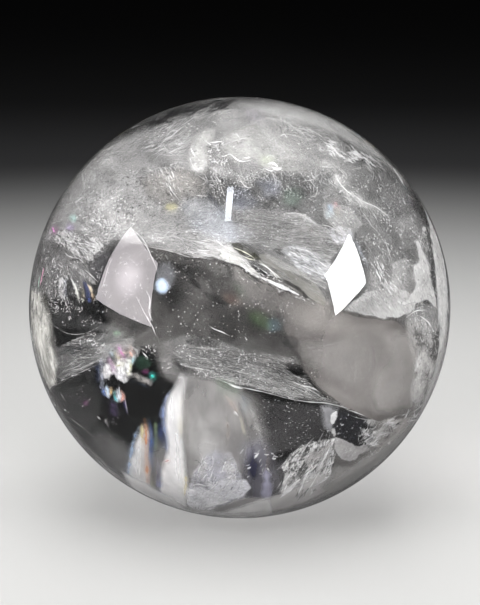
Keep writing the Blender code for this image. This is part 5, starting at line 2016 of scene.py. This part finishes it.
# The hollow: a near-black film of painted shade.
CHIP_HOLLOW = [
    ([[(333, 424), (338, 411), (348, 410), (358, 417), (369, 417), (370, 423), (362, 428), (363, 439),
       (358, 446), (348, 441), (337, 436)]],
     [(338, 415, 12.5, 1), (367, 421, 12.5, 0.92), (354, 442, 12.5, 1)], 0.3, (0.02, 0.02, 0.024)),
]
films("chip_hollow", CHIP_HOLLOW, broken)
CHIP_PIECES = [
    # A white piece of painted highlight on the hollow's left edge.
    level([(330, 415), (334, 411), (338, 409), (337, 417), (333, 427), (330, 422)], 11, 0.9, WHITE),
    level([(331, 429), (335, 426), (337, 433), (335, 438), (331, 436)], 11, 0.7, PALE),
    ([[(335, 437), (342, 438), (350, 442), (358, 446), (364, 444), (371, 446), (370, 451), (361, 454),
       (357, 460), (350, 462), (341, 460), (333, 450)]],
     [(336, 440, 11, 0.95), (371, 447, 11, 0.95), (350, 460, 11, 0.85)], 0.5, (0.5, 0.49, 0.485)),
    ([[(372, 423), (378, 421), (392, 417), (402, 418), (412, 414), (406, 428), (392, 440), (378, 450),
       (371, 444), (373, 432)]], [(374, 424, 12, 0.4), (410, 416, 10, 0.7), (378, 444, 12, 0.6)], 0.5,
     (0.56, 0.54, 0.52)),
]
films("chip_pieces", CHIP_PIECES, broken)
CHIP_GLOW = [
    level([(318, 404), (330, 403), (340, 408), (338, 422), (332, 436), (322, 428)], 13.4, 0.75,
          (0.46, 0.46, 0.48)),
]
films("chip_glow", CHIP_GLOW, glow)
CHIP_FEATHERS = [
    level([(364, 417), (374, 419), (380, 424), (372, 428), (366, 425)], 10, 0.5, PALE),
    ([[(361, 430), (367, 427), (376, 430), (384, 424), (392, 418), (398, 420), (392, 430), (380, 440),
       (376, 448), (368, 447), (362, 440)]],
     [(361, 434, 9, 0.65), (395, 420, 9, 0.3), (366, 445, 9, 0.75)], 0.4, PALE),
    level([(365, 436), (372, 435), (374, 440), (369, 444), (364, 441)], 8.6, 0.9, (0.03, 0.03, 0.034)),
    level([(368, 431), (372, 429), (377, 436), (374, 438)], 8.4, 0.7, (0.06, 0.055, 0.055)),
]
films("chip_feathers", CHIP_FEATHERS, frosty)
CHIP_LINES = [
    ([(377, 426), (391, 418), (405, 414), (413, 412), (424, 403), (432, 390), (438, 376)], 1, (8, 6),
     0.8, PALE),
    ([(345, 409), (352, 411), (360, 414), (367, 417)], 1.2, 12, 0.9, WHITE),
    ([(349, 415), (358, 418), (369, 420), (378, 422)], 1, 12, 0.7, PALE),
    ([(364, 428), (368, 435), (372, 441)], 1, 9, 0.9, WHITE),
    ([(366, 441), (374, 436), (380, 440)], 1.2, 9, 0.8, WHITE),
    ([(359, 431), (359, 436), (358, 442)], 1, 11, 0.8, PALE),
    ([(380, 428), (388, 422), (396, 416)], 1.1, 8, 0.8, WHITE),
]
ribbons("chip_lines", CHIP_LINES, stroke)


# The lower rim. Smooth grey bands follow the outline round the bottom.
# They are faint smoky veils, seen edge on through the curve of the polished skin. The same piece
# also holds near-black films over patches of the upper half, which are painted shade.
RIM_SMOKE_AND_PAINTED_SHADE = [
    ([[(418, 412), (430, 394), (440, 372), (444, 376), (432, 408), (408, 441), (378, 468), (345, 491),
       (310, 506), (275, 515), (258, 515), (262, 506), (285, 501), (312, 491), (335, 476), (360, 458),
       (382, 446), (402, 430)]],
     [(430, 400, 8, 0.6), (380, 460, 9, 0.55), (300, 505, 10, 0.55), (340, 478, 10, 0.55),
      (270, 510, 10, 0.55)], 0.5, (0.5, 0.49, 0.475)),
    ([[(336, 438), (356, 446), (384, 438), (412, 416), (424, 408), (408, 432), (380, 458), (350, 478),
       (332, 484), (330, 470)]],
     [(340, 445, 14, 0.35), (415, 414, 10, 0.75), (340, 480, 14, 0.35), (378, 445, 12, 0.45)], 0.5,
     (0.52, 0.505, 0.49)),
    ([[(46, 388), (52, 395), (66, 416), (84, 440), (108, 464), (136, 484), (168, 500), (200, 508),
       (235, 512), (262, 510), (262, 517), (235, 518), (200, 515), (168, 505), (136, 493), (106, 473),
       (80, 449), (60, 424), (48, 402)]], [(55, 405, 5, 0.25), (130, 486, 6, 0.5), (230, 515, 6, 1)],
     0.5, (0.52, 0.51, 0.5)),
    ([[(258, 398), (300, 402), (333, 408), (334, 440), (318, 444), (290, 452), (268, 458), (260, 430)]],
     [(270, 400, 44, 0.12), (330, 410, 44, 0.2), (275, 455, 42, 0.24)], 2, (0.42, 0.41, 0.42)),
    ([[(54, 392), (66, 386), (80, 382), (92, 380), (102, 388), (104, 404), (100, 420), (90, 436),
       (76, 430), (64, 414)]], [(60, 396, 14, 0.05), (100, 392, 18, 0.03), (88, 426, 14, 0.06)], 0.5,
     GREY),
    ([[(232, 98), (262, 97), (300, 104), (332, 114), (356, 130), (374, 144), (390, 162), (372, 158),
       (350, 144), (328, 132), (300, 122), (262, 114), (238, 108)]],
     [(240, 103, 6, 0.12), (300, 112, 6, 0.24), (335, 124, 6, 0.34), (378, 154, 6, 0.26)], 0.5, PALE),
    # Near-black films of painted shade over patches of the upper half.
    level([(146, 124), (164, 114), (182, 106), (196, 103), (198, 107), (184, 112), (168, 122),
           (152, 130)], 3.4, 0.7, DARK),
    level([(296, 187), (324, 186), (328, 206), (304, 209)], 11, 0.22, DARK),
    level([(142, 148), (160, 146), (174, 156), (168, 168), (148, 166)], 9, 0.16, DARK),
    ([[(228, 510), (256, 500), (286, 490), (314, 476), (338, 464), (356, 466), (332, 492), (300, 507),
       (262, 517), (232, 518)]],
     [(240, 513, 6, 0.9), (290, 500, 9, 0.8), (345, 472, 10, 0.32), (262, 504, 10, 0.75)], 0.5,
     (0.6, 0.585, 0.57)),
    level([(116, 466), (150, 484), (172, 496), (190, 509), (215, 512), (240, 505), (270, 496),
           (276, 516), (236, 521), (200, 518), (168, 508), (134, 494)], 5, 0.9, PALE),
    level([(282, 156), (300, 158), (330, 170), (332, 186), (304, 198), (284, 200), (280, 178)], 12,
          0.2, DARK),
    level([(104, 168), (126, 166), (156, 168), (158, 186), (128, 192), (106, 186)], 9, 0.15, DARK),
    level([(196, 499), (238, 495), (268, 496), (264, 514), (222, 518), (196, 516)], 14, 0.55,
          (0.62, 0.61, 0.6)),
    level([(186, 330), (204, 326), (222, 334), (222, 348), (200, 350)], 13, 0.2, DARK),
    ([[(54, 306), (76, 312), (96, 318), (130, 332), (118, 340), (96, 332), (70, 330), (50, 326)]],
     [(58, 312, 9, 0.04), (125, 334, 20, 0.24), (80, 326, 12, 0.03)], 0.5, GREY),
]
films("rim_smoke_and_painted_shade", RIM_SMOKE_AND_PAINTED_SHADE, smoke)
RIM_LINES = [
    ([(80, 424), (92, 436), (105, 452)], 0.9, (5, 6), 0.5, PALE),
    ([(105, 420), (109, 428)], 1.2, 8, 0.7, WHITE),
    ([(96, 441), (104, 451)], 1, 6, 0.8, WHITE),
    ([(130, 129), (136, 126), (142, 125)], 1.2, 2.5, 0.9, WHITE),
    ([(155, 121), (160, 118)], 1.2, 2.5, 0.8, WHITE),
    ([(186, 107), (192, 105)], 1, 2.5, 0.7, PALE),
    ([(196, 509), (222, 513), (248, 513), (266, 511)], 2, 2.4, 0.7, PALE),
    ([(214, 100), (220, 99), (226, 99)], 1.2, 2, 0.9, WHITE),
]
ribbons("rim_lines", RIM_LINES, thread)


# Specks. Single grains hang all through the stone, most of them in its middle.
# Each is one small bubble or crystal that the quartz closed round as it grew.
WHOLE = oval(240, 308, 196, 200)
SPECKS = [
    ([WHOLE], [(100, 200, 20, 0.5), (380, 200, 20, 0.5), (240, 480, 30, 0.5)], 700, 0.15, 0.12,
     (0, 90), 50, 20, 12),
    ([[(105, 255), (150, 250), (225, 264), (285, 294), (300, 330), (250, 345), (150, 330), (100, 300)]],
     [(110, 290, 30, 0.8), (290, 300, 30, 0.8), (200, 330, 30, 0.8)], 320, 0.19, 0.15, (0, 90), 50, 9,
     6),
    ([[(255, 396), (333, 406), (333, 440), (280, 460), (255, 440)]],
     [(260, 400, 26, 0.8), (330, 410, 26, 0.8), (290, 445, 26, 0.8)], 220, 0.15, 0.12, (0, 90), 50, 9,
     6),
    ([[(90, 264), (108, 252), (104, 270), (99, 283)]],
     [(92, 266, 10, 0.8), (107, 254, 10, 0.8), (99, 280, 10, 0.8)], 70, 0.14, 0.12, (0, 90), 50, 9,
     0.5),
]
flakes("specks", SPECKS, white_flake, seed=14)
